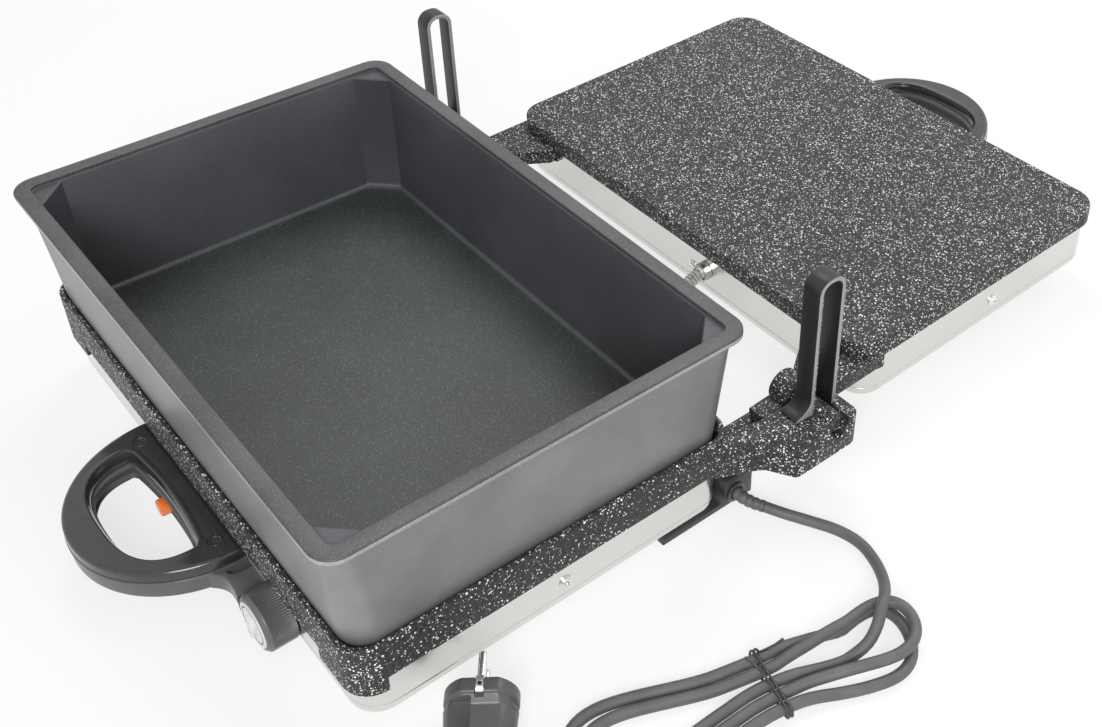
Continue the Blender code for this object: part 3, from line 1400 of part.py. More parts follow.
def build_plug():
    """A moulded mains plug: a face with two flats, a broad grip, two round pins and two earth springs."""
    half = PLUG_DISC / 2
    nose = half - PLUG_LENGTH
    slope = -half - PLUG_SLOPE
    edge_radius = PLUG_RADIUS - PLUG_EDGE
    edge_flat = PLUG_FLAT - PLUG_EDGE
    loops = [
        plug_loop(half, edge_radius, edge_radius, edge_flat),
        plug_loop(half - PLUG_EDGE, PLUG_RADIUS, PLUG_RADIUS, PLUG_FLAT),
        plug_loop(-half + PLUG_EDGE, PLUG_RADIUS, PLUG_RADIUS, PLUG_FLAT),
        plug_loop(-half, edge_radius, edge_radius, edge_flat),
        plug_loop(slope, PLUG_GRIP_HALF, PLUG_GRIP_ROUND, PLUG_GRIP_FLAT),
        plug_loop(slope - PLUG_GRIP_LENGTH, PLUG_GRIP_HALF - PLUG_EDGE, PLUG_GRIP_ROUND, PLUG_GRIP_FLAT),
        plug_loop(slope - PLUG_GRIP_LENGTH - PLUG_SLOPE, PLUG_GRIP_FLAT, PLUG_GRIP_FLAT - PLUG_EDGE),
        plug_loop(nose, PLUG_NOSE_RADIUS, PLUG_NOSE_RADIUS),
    ]
    body = add_placed("plug_body", loft(loops), "satin_black")
    for label, side in (("left", 1), ("right", -1)):
        low, high = clip_box(side, CLIP_SLOT - CLEARANCE, CLIP_THICK, CLIP_WIDTH / 2)
        clip = box((PLUG_EDGE - half, *low), (PLUG_EDGE - half + CLIP_LENGTH, *high))
        add_placed(f"plug_earth_clip_{label}", clip, "plain_steel")
        low, high = clip_box(side, CLIP_SLOT, CLIP_SLOT + OVERRUN, CLIP_WIDTH / 2 + CLEARANCE)
        slot = box((-half - OVERRUN, *low), (half + OVERRUN, *high))
        slot.transform(plug_frame())
        cut(body, slot)
    for label, side in (("upper", 1), ("lower", -1)):
        start = half + CLEARANCE
        rings = []
        for along, radius in (
            (start, PLUG_PIN_RADIUS),
            (start + PLUG_PIN_LENGTH - PLUG_PIN_TIP, PLUG_PIN_RADIUS),
            (start + PLUG_PIN_LENGTH, PLUG_PIN_RADIUS - PLUG_PIN_TIP),
        ):
            ring = plug_loop(along, radius, radius, steps=SMALL_STEPS)
            rings.append([point + Vector((0.0, 0.0, side * PLUG_PIN_SPACING / 2)) for point in ring])
        add_placed(f"plug_pin_{label}", loft(rings), "plain_steel")


def clip_box(side, depth, height, half_y):
    """The Y and Z limits of a box that starts at a depth below one of the plug's flats."""
    ends = sorted((side * (PLUG_FLAT - depth), side * (PLUG_FLAT - depth + height)))
    return (-half_y, ends[0]), (half_y, ends[1])


def add_placed(name, shape, finish):
    """Makes an object that is drawn along the plug's own axes."""
    shape.transform(plug_frame())
    return add_object(name, shape, finish)


# Lid


def build_lid(carrier):
    """The flat cast plate with its two hinge arms, and the heater box behind it."""
    half_x = LID_LENGTH / 2
    half_y = LID_WIDTH / 2
    skirt_corner = LID_CORNER - LID_SKIRT
    skirt = corner_outline(half_x - LID_SKIRT, half_y - LID_SKIRT, skirt_corner)
    rim = corner_outline(half_x, half_y, LID_CORNER)
    edge = corner_outline(half_x - CAST_EDGE, half_y - CAST_EDGE, LID_CORNER - CAST_EDGE)
    loops = [
        level(skirt, LID_UNDER, LID_MID_Y),
        level(skirt, LID_BAND_BOTTOM, LID_MID_Y),
        level(rim, LID_BAND_BOTTOM, LID_MID_Y),
        level(rim, LID_FACE - CAST_EDGE, LID_MID_Y),
        level(edge, LID_FACE, LID_MID_Y),
    ]
    plate = add_object("lid_plate", loft(loops), "speckled_casting", carrier)
    for side in (1, -1):
        fuse(plate, lid_deep_corner_shape(side), carrier)
        for shape in arm_shapes(side):
            fuse(plate, shape, carrier)
        ends = sorted((side * (ARM_INNER_X - OVERRUN), side * (ARM_OUTER_X + OVERRUN)))
        cut(plate, cylinder((HINGE_Y, HINGE_Z), PIN_RADIUS + CLEARANCE, "X", *ends), carrier)
    for place, axis, way in lid_screw_places():
        fuse(plate, lug_box(place, axis, way, LID_UNDER), carrier)
    for screw in lid_screw_places():
        cut(plate, screw_hole_shape(screw, SCREW_SHANK + CLEARANCE), carrier)
    shell_top = LID_UNDER - CLEARANCE
    shape = shell_shape(UPPER_SHELL_HALF_X, UPPER_SHELL_HALF_Y, LID_SHELL_BOTTOM, shell_top, LID_MID_Y)
    shell = add_object("lid_shell", shape, "bright_steel", carrier)
    for screw in lid_screw_places():
        cut(shell, screw_hole_shape(screw, SCREW_SHANK + CLEARANCE), carrier)
    near = LID_MID_Y - UPPER_SHELL_HALF_Y
    hole_centre = (CONDUIT_X, LID_FACE - CONDUIT_DROP)
    hole = cylinder(hole_centre, CONDUIT_BORE, "Y", near - OVERRUN, near + OVERRUN, SMALL_STEPS)
    cut(shell, hole, carrier)
    for label, screw in zip(("right", "left", "rear"), lid_screw_places()):
        add_shell_screw(f"lid_shell_screw_{label}", screw, carrier)
    add_heater("lid_heater", half_x, half_y, LID_UNDER, LID_MID_Y, carrier)
    add_reflector("lid_reflector", half_x, half_y, LID_UNDER, LID_MID_Y, carrier)
    far_shell = LID_MID_Y + UPPER_SHELL_HALF_Y
    build_handle("lid", LID_FAR_Y, far_shell, 1, LID_FACE - LID_HANDLE_DROP, carrier)


def lid_screw_places():
    height = LID_FACE - LID_SCREW_DROP
    right = (UPPER_SHELL_HALF_X, LID_MID_Y + LID_SCREW_OFFSET, height)
    left = (-UPPER_SHELL_HALF_X, LID_MID_Y + LID_SCREW_OFFSET, height)
    rear = (LID_REAR_SCREW_X, LID_MID_Y - UPPER_SHELL_HALF_Y, height)
    return [(right, "X", 1), (left, "X", -1), (rear, "Y", -1)]


def lid_deep_corner_shape(side):
    """The skirt reaches lower round the two corners that carry the arms."""
    half_x = LID_LENGTH / 2
    half_y = LID_WIDTH / 2
    centre = (half_x - LID_CORNER, half_y - LID_CORNER)
    outer = []
    inner = []
    for i in range(CORNER_STEPS + 1):
        angle = math.pi / 2 * i / CORNER_STEPS
        way = (math.cos(angle), math.sin(angle))
        outer.append([centre[k] + LID_CORNER * way[k] for k in (0, 1)])
        inner.append([centre[k] + (LID_CORNER - LID_SKIRT) * way[k] for k in (0, 1)])
    outline = [*outer, (ARM_ROOT_X, half_y), (ARM_ROOT_X, half_y - LID_SKIRT), *reversed(inner)]
    placed = [(side * x, LID_MID_Y - y) for x, y in outline]
    return prism(placed, "Z", LID_BAND_BOTTOM - LID_DEEP_BAND, LID_BAND_BOTTOM + LID_SKIRT)


def arm_shapes(side):
    """One hinge arm: a web from the plate's corner, the eye round the pin, and a lug."""
    root = LID_NEAR_Y + ARM_OVERLAP
    corner = (LID_LENGTH / 2 - LID_CORNER, LID_NEAR_Y + LID_CORNER)
    round_root = []
    for i in range(CORNER_STEPS + 1):
        angle = math.pi / 2 * i / CORNER_STEPS
        reach = LID_CORNER - ARM_OVERLAP
        round_root.append((corner[0] + reach * math.sin(angle), corner[1] - reach * math.cos(angle)))
    web = [
        (ARM_OUTER_X, corner[1]),
        (ARM_OUTER_X, HINGE_Y),
        (ARM_INNER_X, HINGE_Y),
        (ARM_INNER_X, HINGE_Y + ARM_ELBOW_Y - ARM_OVERLAP),
        (ARM_ELBOW_X, HINGE_Y + ARM_ELBOW_Y),
        (ARM_ROOT_X, HINGE_Y + ARM_ROOT_Y),
        (ARM_ROOT_X, root),
        *round_root,
    ]
    top = LID_FACE - ARM_TOP_DROP
    bottom = LID_FACE - ARM_BOTTOM_DROP
    ends = sorted((side * ARM_INNER_X, side * ARM_OUTER_X))
    lug = [
        (HINGE_Y - LUG_REACH, HINGE_Z - LUG_BOTTOM),
        (HINGE_Y, HINGE_Z - LUG_BOTTOM + CAST_EDGE),
        (HINGE_Y, HINGE_Z - LUG_TOP + CAST_EDGE),
        (HINGE_Y - LUG_REACH, HINGE_Z - LUG_TOP),
    ]
    lug_ends = sorted((side * (ARM_INNER_X + CLEARANCE), side * (ARM_OUTER_X - CLEARANCE)))
    return [
        prism(mirrored(web, side), "Z", bottom, top),
        cylinder((HINGE_Y, HINGE_Z), EYE_RADIUS, "X", *ends),
        prism(lug, "X", *lug_ends),
    ]


def build_pins():
    """The two floating pins: each turns in an arm's eye and slides in an upright's slot."""
    carrier = add_empty("pin_axis", (0.0, HINGE_Y, HINGE_Z))
    for label, side in (("left", -1), ("right", 1)):
        inner = side * PIN_INNER_X
        outer = side * PIN_OUTER_X
        profile = [
            (PIN_RADIUS - PIN_CHAMFER, inner),
            (PIN_RADIUS, inner + side * PIN_CHAMFER),
            (PIN_RADIUS, outer - side * PIN_CHAMFER),
            (PIN_RADIUS - PIN_CHAMFER, outer),
        ]
        shape = turned((HINGE_Y, HINGE_Z), "X", profile)
        add_object(f"hinge_pin_{label}", shape, "speckled_casting", carrier)


def lid_frame():
    """Where the open lid lies: turned a little about the hinge."""
    pivot = Vector((0.0, HINGE_Y, HINGE_Z))
    return Matrix.Translation(pivot) @ Matrix.Rotation(LID_TILT, 4, "X") @ Matrix.Translation(-pivot)


def build_conduit(carrier):
    """The ribbed metal hose that takes the lid's wires, from the cable box to the lid's shell."""
    box_face = BOX_INNER_X - CLEARANCE
    near = LID_MID_Y - UPPER_SHELL_HALF_Y - CLEARANCE
    lid_height = LID_FACE - CONDUIT_DROP
    ferrule = [
        (FERRULE_BORE, 0.0),
        (FERRULE_BORE, FERRULE_LENGTH - CAST_EDGE),
        (CONDUIT_BORE, FERRULE_LENGTH - CAST_EDGE),
        (CONDUIT_BORE, FERRULE_LENGTH),
        (FERRULE_RADIUS, FERRULE_LENGTH),
        (FERRULE_RADIUS, 0.0),
    ]
    box_profile = [(radius, box_face - FERRULE_LENGTH + along) for radius, along in ferrule]
    box_ferrule = turned(conduit_port(), "X", box_profile, SMALL_STEPS, True)
    add_object("conduit_ferrule_lower", box_ferrule, "plain_steel")
    lid_profile = [(radius, near - FERRULE_LENGTH + along) for radius, along in ferrule]
    lid_centre = (CONDUIT_X, lid_height)
    lid_ferrule = turned(lid_centre, "Y", lid_profile, SMALL_STEPS, True)
    add_object("conduit_ferrule_lid", lid_ferrule, "plain_steel", carrier)
    start = Vector((box_face - CAST_EDGE - CLEARANCE, *conduit_port()))
    start_way = Vector((-1.0, 0.0, 0.0))
    end = lid_frame() @ Vector((CONDUIT_X, near - CAST_EDGE - CLEARANCE, lid_height))
    end_way = lid_frame().to_3x3() @ Vector((0.0, -1.0, 0.0))
    straight = 2 * CONDUIT_RADIUS
    run_in = straight + CONDUIT_RADIUS
    first = start + start_way * run_in
    floor = CONDUIT_RADIUS + CLEARANCE
    route = [start, start + start_way * straight, first]
    for share_x, share_y, share_z in CONDUIT_ROUTE_SHARES:
        x = end.x + (first.x - end.x) * share_x
        y = start.y + (end.y - start.y) * share_y
        route.append(Vector((x, y, floor + (end.z - floor) * share_z)))
    route += [end + end_way * run_in, end + end_way * straight, end]
    fine = smooth_route(route, route_length(route) / (2 * CONDUIT_RIBS), CONDUIT_RADIUS)
    outer = [CONDUIT_RADIUS if i % 2 else CONDUIT_VALLEY for i in range(len(fine))]
    sides = SMALL_STEPS - ARC_STEPS
    rings = sweep_rings(fine, outer, sides)
    bore = sweep_rings(fine, [CONDUIT_BORE] * len(fine), sides)
    thin = [*bore[::-4]]
    if thin[-1] is not bore[0]:
        thin.append(bore[0])
    add_object("wire_conduit", loft([*rings, *thin], cyclic=True), "plain_steel")


def conduit_port():
    """The middle of the hose's hole in the cable box's side, in Y and Z."""
    return (BOX_BACK_Y - CONDUIT_BOX_INSET, CONDUIT_BOX_Z)


def route_length(route):
    return sum((b - a).length for a, b in zip(route, route[1:]))


def build_inner_wires():
    """One wire from the terminal block to the thermostat, along the shell's side."""
    start = Vector((BOX_INNER_X + FOOT_WIDTH, LOWER_SHELL_HALF_Y - OVERRUN, BOX_HEIGHT / 2 + FOOT_HEIGHT))
    floor = FOOT_HEIGHT + SHELL_SHEET + WIRE_RADIUS + CLEARANCE
    seat = -LOWER_SHELL_HALF_Y + SHELL_SHEET + CLEARANCE + THERMOSTAT_DEPTH + CLEARANCE
    end = Vector((KNOB_X, seat, KNOB_Z))
    route = [
        start,
        start + Vector((0.0, -OVERRUN, -OVERRUN)),
        Vector((start.x, start.y - FOOT_WIDTH, floor)),
        Vector((start.x, 0.0, floor)),
        Vector((end.x, seat + FOOT_WIDTH * 2, floor)),
        end + Vector((0.0, OVERRUN * 2, -OVERRUN)),
        end,
    ]
    add_cord("thermostat_wire", smooth_route(route, CORD_STEP, floor), WIRE_RADIUS, "cream_plastic", 1)


def main():
    clear_scene()
    half_x = TRAY_LENGTH / 2
    half_y = TRAY_WIDTH / 2
    build_tray()
    build_lower_shell()
    for label, screw in zip(("right", "left", "rear"), lower_screw_places()):
        add_shell_screw(f"shell_screw_{label}", screw)
    add_heater("tray_heater", half_x, half_y, TRAY_UNDER, 0.0)
    add_reflector("tray_reflector", half_x, half_y, TRAY_UNDER, 0.0)
    build_uprights()
    build_pan()
    build_handle("front", -half_y, -LOWER_SHELL_HALF_Y, -1, TRAY_TOP - HANDLE_DROP, bridge=True)
    build_knob()
    add_object("lamp_lens", lamp_shape(0.0, 0.0), "lamp_orange")
    build_rear_feet()
    build_front_feet()
    build_cable_entry()
    build_inner_wires()
    build_cord()
    build_plug()
    build_pins()
    lid_axis = add_empty("lid_axis", (0.0, HINGE_Y, HINGE_Z), LID_TILT)
    build_lid(lid_axis)
    build_conduit(lid_axis)
    bpy.context.view_layer.update()


main()
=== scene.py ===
"""Looks of an electric table grill that lies open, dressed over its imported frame.

The row frame is in metres: X along the hinge, Y from the front handle to the open lid, Z up from the table.
"""

import logging
import math
from dataclasses import dataclass
from enum import Enum
from typing import Any, Iterable, Optional, Sequence, Union

import bmesh
import bpy
from mathutils import Matrix, Vector


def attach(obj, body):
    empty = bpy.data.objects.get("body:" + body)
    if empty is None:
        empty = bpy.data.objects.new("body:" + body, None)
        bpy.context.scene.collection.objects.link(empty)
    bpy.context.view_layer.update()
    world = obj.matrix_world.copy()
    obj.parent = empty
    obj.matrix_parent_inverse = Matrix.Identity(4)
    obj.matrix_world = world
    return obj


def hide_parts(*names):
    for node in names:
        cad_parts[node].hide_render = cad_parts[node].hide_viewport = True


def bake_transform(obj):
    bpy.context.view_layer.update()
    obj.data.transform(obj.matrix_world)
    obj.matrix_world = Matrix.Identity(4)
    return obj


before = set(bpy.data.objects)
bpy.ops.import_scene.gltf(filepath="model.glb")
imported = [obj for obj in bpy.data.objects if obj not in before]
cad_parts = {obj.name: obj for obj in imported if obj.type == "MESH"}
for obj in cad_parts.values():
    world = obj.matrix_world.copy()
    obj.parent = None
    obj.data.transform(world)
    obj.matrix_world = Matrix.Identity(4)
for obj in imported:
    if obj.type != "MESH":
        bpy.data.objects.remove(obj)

LOG = logging.getLogger("grill")
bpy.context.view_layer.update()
QUARTER = math.pi / 2
CLEAR = 0.0003
SIDES = (("left", -1), ("right", 1))
SQUARE = ((-1, -1), (1, -1), (1, 1), (-1, 1))
WHITE = (1.0, 1.0, 1.0, 1.0)
Flat = tuple[float, float]
Triple = tuple[float, float, float]
Shape = bmesh.types.BMesh
Piece = bpy.types.Object
Settings = dict[Any, Any]
Value = Union["Sock", float, int]


class Axis(Enum):
    """A main direction of the row frame."""

    X = 0
    Y = 1
    Z = 2


class Corner(Enum):
    """How the four corners of a pressed or cast rectangle are finished."""

    ROUND = "round"
    CHAMFERED = "chamfered"


# Meshes


def arc(centre: Flat, radius: float, first: float, last: float, steps: int) -> list[Flat]:
    """Points on a round stretch between two angles, both ends among them."""
    angles = [first + (last - first) * i / steps for i in range(steps + 1)]
    return [(centre[0] + radius * math.cos(a), centre[1] + radius * math.sin(a)) for a in angles]


def corner_outline(half: Flat, radius: float, corner: Corner = Corner.ROUND, steps: int = 14) -> list[Flat]:
    """Draws a rectangle with finished corners.

    Args:
        half: Half its length along X, and half its width along Y.
        radius: Size of each corner.
        corner: Round or chamfered corners.
        steps: Stretches in each corner.

    Returns:
        The outline's points, anticlockwise, equally many for either corner.
    """
    points: list[Flat] = []
    for quarter, (sign_x, sign_y) in enumerate(((1, 1), (-1, 1), (-1, -1), (1, -1))):
        centre = (sign_x * (half[0] - radius), sign_y * (half[1] - radius))
        bend = arc(centre, radius, quarter * QUARTER, (quarter + 1) * QUARTER, steps)
        if corner is Corner.CHAMFERED:
            start, end = Vector(bend[0]), Vector(bend[-1])
            bend = [tuple(start.lerp(end, i / steps)) for i in range(steps + 1)]
        points += bend
    return points


def drawn_in(half: Flat, inset: float) -> Flat:
    """Half sizes of a rectangle, made smaller by an inset on each side."""
    return half[0] - inset, half[1] - inset


def corner_band(half: Flat, corner: float, wall: float, end_x: float, run: float = 0.0) -> list[Flat]:
    """Draws a band that follows a rectangle's corner.

    Args:
        half: Half sizes of the rectangle.
        corner: Radius of its corner.
        wall: The band's thickness.
        end_x: Where it ends on the side along X.
        run: How far it runs on past the corner on the side along Y.

    Returns:
        The band's outline.
    """
    centre = drawn_in(half, corner)
    sides = []
    for inset in (0.0, wall):
        side = arc(centre, corner - inset, 0.0, QUARTER, 14)
        if run:
            side.insert(0, (half[0] - inset, centre[1] - run))
        sides.append([*side, (end_x, half[1] - inset)])
    return [*sides[0], *reversed(sides[1])]


def level(outline: Iterable[Flat], height: float, middle_y: float = 0.0) -> list[Vector]:
    """Lays a flat outline at a height."""
    return [Vector((x, y + middle_y, height)) for x, y in outline]


def quarter_round(radius: float, steps: int = 5) -> list[Flat]:
    """Pairs of inset and rise along a quarter round, from its foot to its side."""
    angles = [QUARTER * i / steps for i in range(steps + 1)]
    return [(radius * (1 - math.sin(a)), radius * (1 - math.cos(a))) for a in angles]


def loft(loops: Sequence[Sequence[Vector]], cyclic: bool = False, bands: Sequence[int] = ()) -> Shape:
    """Skins equal loops in order.

    Args:
        loops: Rings of equally many points.
        cyclic: Whether the last ring joins the first, instead of both being capped.
        bands: The material slot of each band between two rings.

    Returns:
        The closed skin with its faces turned outwards.
    """
    shape = bmesh.new()
    rows = [[shape.verts.new(point) for point in loop] for loop in loops]
    pairs = list(zip(rows, rows[1:]))
    if cyclic:
        pairs.append((rows[-1], rows[0]))
    for band, (low, high) in enumerate(pairs):
        for i in range(len(low)):
            j = (i + 1) % len(low)
            face = shape.faces.new((low[i], low[j], high[j], high[i]))
            face.material_index = bands[band] if band < len(bands) else 0
    if not cyclic:
        shape.faces.new(rows[0][::-1]).material_index = bands[0] if bands else 0
        shape.faces.new(rows[-1]).material_index = bands[-1] if bands else 0
    bmesh.ops.recalc_face_normals(shape, faces=shape.faces)
    if shape.calc_volume(signed=True) < 0:
        bmesh.ops.reverse_faces(shape, faces=shape.faces)
    return shape


def ring(
    half: Flat,
    corner: float,
    inset: float,
    height: float,
    middle_y: float = 0.0,
    steps: int = 14,
) -> list[Vector]:
    """A rectangle with round corners, drawn in by an inset and laid at a height."""
    return level(corner_outline(drawn_in(half, inset), corner - inset, steps=steps), height, middle_y)


def set_across(outline: Iterable[Flat], axis: Axis, along: float) -> list[Vector]:
    """Sets a flat outline across an axis. Its two numbers are the other two axes in order."""
    loop = []
    for first, second in outline:
        numbers = [first, second]
        numbers.insert(axis.value, along)
        loop.append(Vector(numbers))
    return loop


def prism(outline: Sequence[Flat], axis: Axis, low: float, high: float) -> Shape:
    """Extrudes a flat outline along an axis, between two places on it."""
    return loft([set_across(outline, axis, along) for along in sorted((low, high))])


def block(low: Sequence[float], high: Sequence[float]) -> Shape:
    """A square block between two corners."""
    outline = [(low[0], low[1]), (high[0], low[1]), (high[0], high[1]), (low[0], high[1])]
    return prism(outline, Axis.Z, low[2], high[2])


def circle(centre: Flat, radius: float, steps: int = 48) -> list[Flat]:
    """Points round a circle."""
    return arc(centre, radius, 0.0, 2 * math.pi, steps)[:-1]


def turned(
    centre: Flat,
    axis: Axis,
    profile: Sequence[Flat],
    steps: int = 48,
    cyclic: bool = False,
    bands: Sequence[int] = (),
) -> Shape:
    """Turns a profile of radius and place pairs about a line.

    Args:
        centre: Where the line crosses the other two axes.
        axis: The line's direction.
        profile: Pairs of radius and place along the line.
        steps: Stretches in each ring.
        cyclic: Whether the profile closes on itself.
        bands: The material slot of each stretch of the profile.

    Returns:
        The turned skin.
    """
    loops = [set_across(circle(centre, radius, steps), axis, along) for radius, along in profile]
    return loft(loops, cyclic, bands)


def moved_in(outline: Sequence[Flat], amount: float) -> list[Flat]:
    """Moves a closed outline inwards by an amount, or outwards where it is negative."""
    count = len(outline)
    edges = [(outline[i - 1], outline[i]) for i in range(count)]
    area = sum(before[0] * here[1] - here[0] * before[1] for before, here in edges)
    shift = amount if area > 0 else -amount
    points: list[Flat] = []
    for i in range(count):
        before, here, after = (Vector(outline[(i + step) % count]) for step in (-1, 0, 1))
        first = (here - before).normalized()
        second = (after - here).normalized()
        normals = Vector((-first.y - second.y, first.x + second.x))
        moved = here + normals * (shift / max(normals.length_squared / 2, 0.8))
        points.append((moved.x, moved.y))
    return points


def soften(shape: Shape, width: float, segments: int = 2, angle: float = 35.0) -> Shape:
    """Rounds each edge that is sharper than the angle."""
    limit = math.radians(angle)
    paired = [edge for edge in shape.edges if len(edge.link_faces) == 2]
    sharp = [edge for edge in paired if edge.calc_face_angle(0.0) > limit]
    options = {"segments": segments, "affect": "EDGES", "profile": 0.5, "clamp_overlap": True}
    bmesh.ops.bevel(shape, geom=sharp, offset=width, **options)
    return shape


def smooth_route(points: Sequence[Vector], step: float, lowest: float = 0.0) -> list[Vector]:
    """Lays even points on a smooth curve.

    Args:
        points: Points that the curve passes.
        step: The distance between the points given back.
        lowest: The least height that a point may have.

    Returns:
        The even points, both ends among them.
    """
    fine: list[Vector] = []
    padded = [points[0] * 2 - points[1], *points, points[-1] * 2 - points[-2]]
    fine_steps = 24
    for i in range(1, len(padded) - 2):
        a, b, c, d = padded[i - 1 : i + 3]
        for k in range(fine_steps):
            t = k / fine_steps
            bent = (2 * a - 5 * b + 4 * c - d) * t**2 + (3 * b - a - 3 * c + d) * t**3
            fine.append((2 * b + (c - a) * t + bent) / 2)
    fine.append(points[-1])
    lengths = [0.0]
    for before, after in zip(fine, fine[1:]):
        lengths.append(lengths[-1] + (after - before).length)
    count = max(2, round(lengths[-1] / step))
    even = []
    at = 0
    for i in range(count + 1):
        want = lengths[-1] * i / count
        while at < len(lengths) - 2 and lengths[at + 1] < want:
            at += 1
        span = lengths[at + 1] - lengths[at]
        share = (want - lengths[at]) / span if span else 0.0
        point = fine[at].lerp(fine[at + 1], min(max(share, 0.0), 1.0))
        point.z = max(point.z, lowest)
        even.append(point)
    return even


def route_length(points: Sequence[Vector]) -> float:
    """The length of a route of straight stretches."""
    return sum((b - a).length for a, b in zip(points, points[1:]))


def sweep(points: Sequence[Vector], radii: Sequence[float], sides: int) -> list[list[Vector]]:
    """Rings round a route, carried along it without a twist."""
    last = len(points) - 1
    ways = [(points[min(i + 1, last)] - points[max(i - 1, 0)]).normalized() for i in range(last + 1)]
    side = ways[0].cross(Vector((0, 0, 1))).normalized()
    rings = []
    for point, radius, way in zip(points, radii, ways):
        side = (side - way * side.dot(way)).normalized()
        up = way.cross(side)
        angles = [2 * math.pi * k / sides for k in range(sides)]
        rings.append([point + side * (radius * math.cos(a)) + up * (radius * math.sin(a)) for a in angles])
    return rings


def mirrored(points: Iterable[Flat], side: int) -> list[Flat]:
    """Draws points on the right or the left side."""
    return [(side * x, y) for x, y in points]


def mesh_of(name: str, shape: Shape) -> bpy.types.Mesh:
    """Turns a shape into a mesh, and frees the shape."""
    mesh = bpy.data.meshes.new(name)
    shape.to_mesh(mesh)
    shape.free()
    return mesh


def put(name: str, data: Any) -> Piece:
    """Puts a new object with its data into the scene."""
    made = bpy.data.objects.new(name, data)
    bpy.context.scene.collection.objects.link(made)
    return made


def carve(body: Shape, adds: Sequence[Shape] = (), cuts: Sequence[Shape] = ()) -> Shape:
    """Joins shapes on to a body and cuts others from it.

    Args:
        body: The shape that is kept.
        adds: Shapes that are joined on first.
        cuts: Shapes that are cut away.

    Returns:
        The finished shape.
    """
    helpers = [put("helper", mesh_of("helper", shape)) for shape in (body, *adds, *cuts)]
    target = helpers[0]
    operations = ["UNION"] * len(adds) + ["DIFFERENCE"] * len(cuts)
    for other, operation in zip(helpers[1:], operations):
        modifier = target.modifiers.new("carve", "BOOLEAN")
        modifier.operation = operation
        modifier.solver = "EXACT"
        modifier.object = other
    graph = bpy.context.evaluated_depsgraph_get()
    finished = bmesh.new()
    finished.from_mesh(target.evaluated_get(graph).to_mesh())
    for made in helpers:
        mesh = made.data
        bpy.data.objects.remove(made)
        bpy.data.meshes.remove(mesh)
    return finished


# Shader maths


class Sock:
    """A shader socket that arithmetic works on."""

    def __init__(self, graph: "Graph", socket: bpy.types.NodeSocket) -> None:
        """Keeps the socket and the graph that it is in."""
        self.graph = graph
        self.socket = socket

    def _math(self, operation: str, first: Value, second: Value) -> "Sock":
        """Adds one Math node."""
        return self.graph.node("ShaderNodeMath", {"operation": operation}, {0: first, 1: second})

    def __add__(self, other: Value) -> "Sock":
        """Sum."""
        return self._math("ADD", self, other)

    __radd__ = __add__

    def __sub__(self, other: Value) -> "Sock":
        """Difference."""
        return self._math("SUBTRACT", self, other)

    def __rsub__(self, other: Value) -> "Sock":
        """Difference from a number."""
        return self._math("SUBTRACT", other, self)

    def __mul__(self, other: Value) -> "Sock":
        """Product."""
        return self._math("MULTIPLY", self, other)

    __rmul__ = __mul__

    def above(self, edge: float, width: float) -> "Sock":
        """Rises smoothly from 0 to 1 over a width that starts at an edge."""
        sockets = {"Value": self, "From Min": edge, "From Max": edge + width}
        return self.graph.node("ShaderNodeMapRange", {"interpolation_type": "SMOOTHSTEP"}, sockets)

    def larger(self, other: Value) -> "Sock":
        """The larger of two values."""
        return self._math("MAXIMUM", self, other)


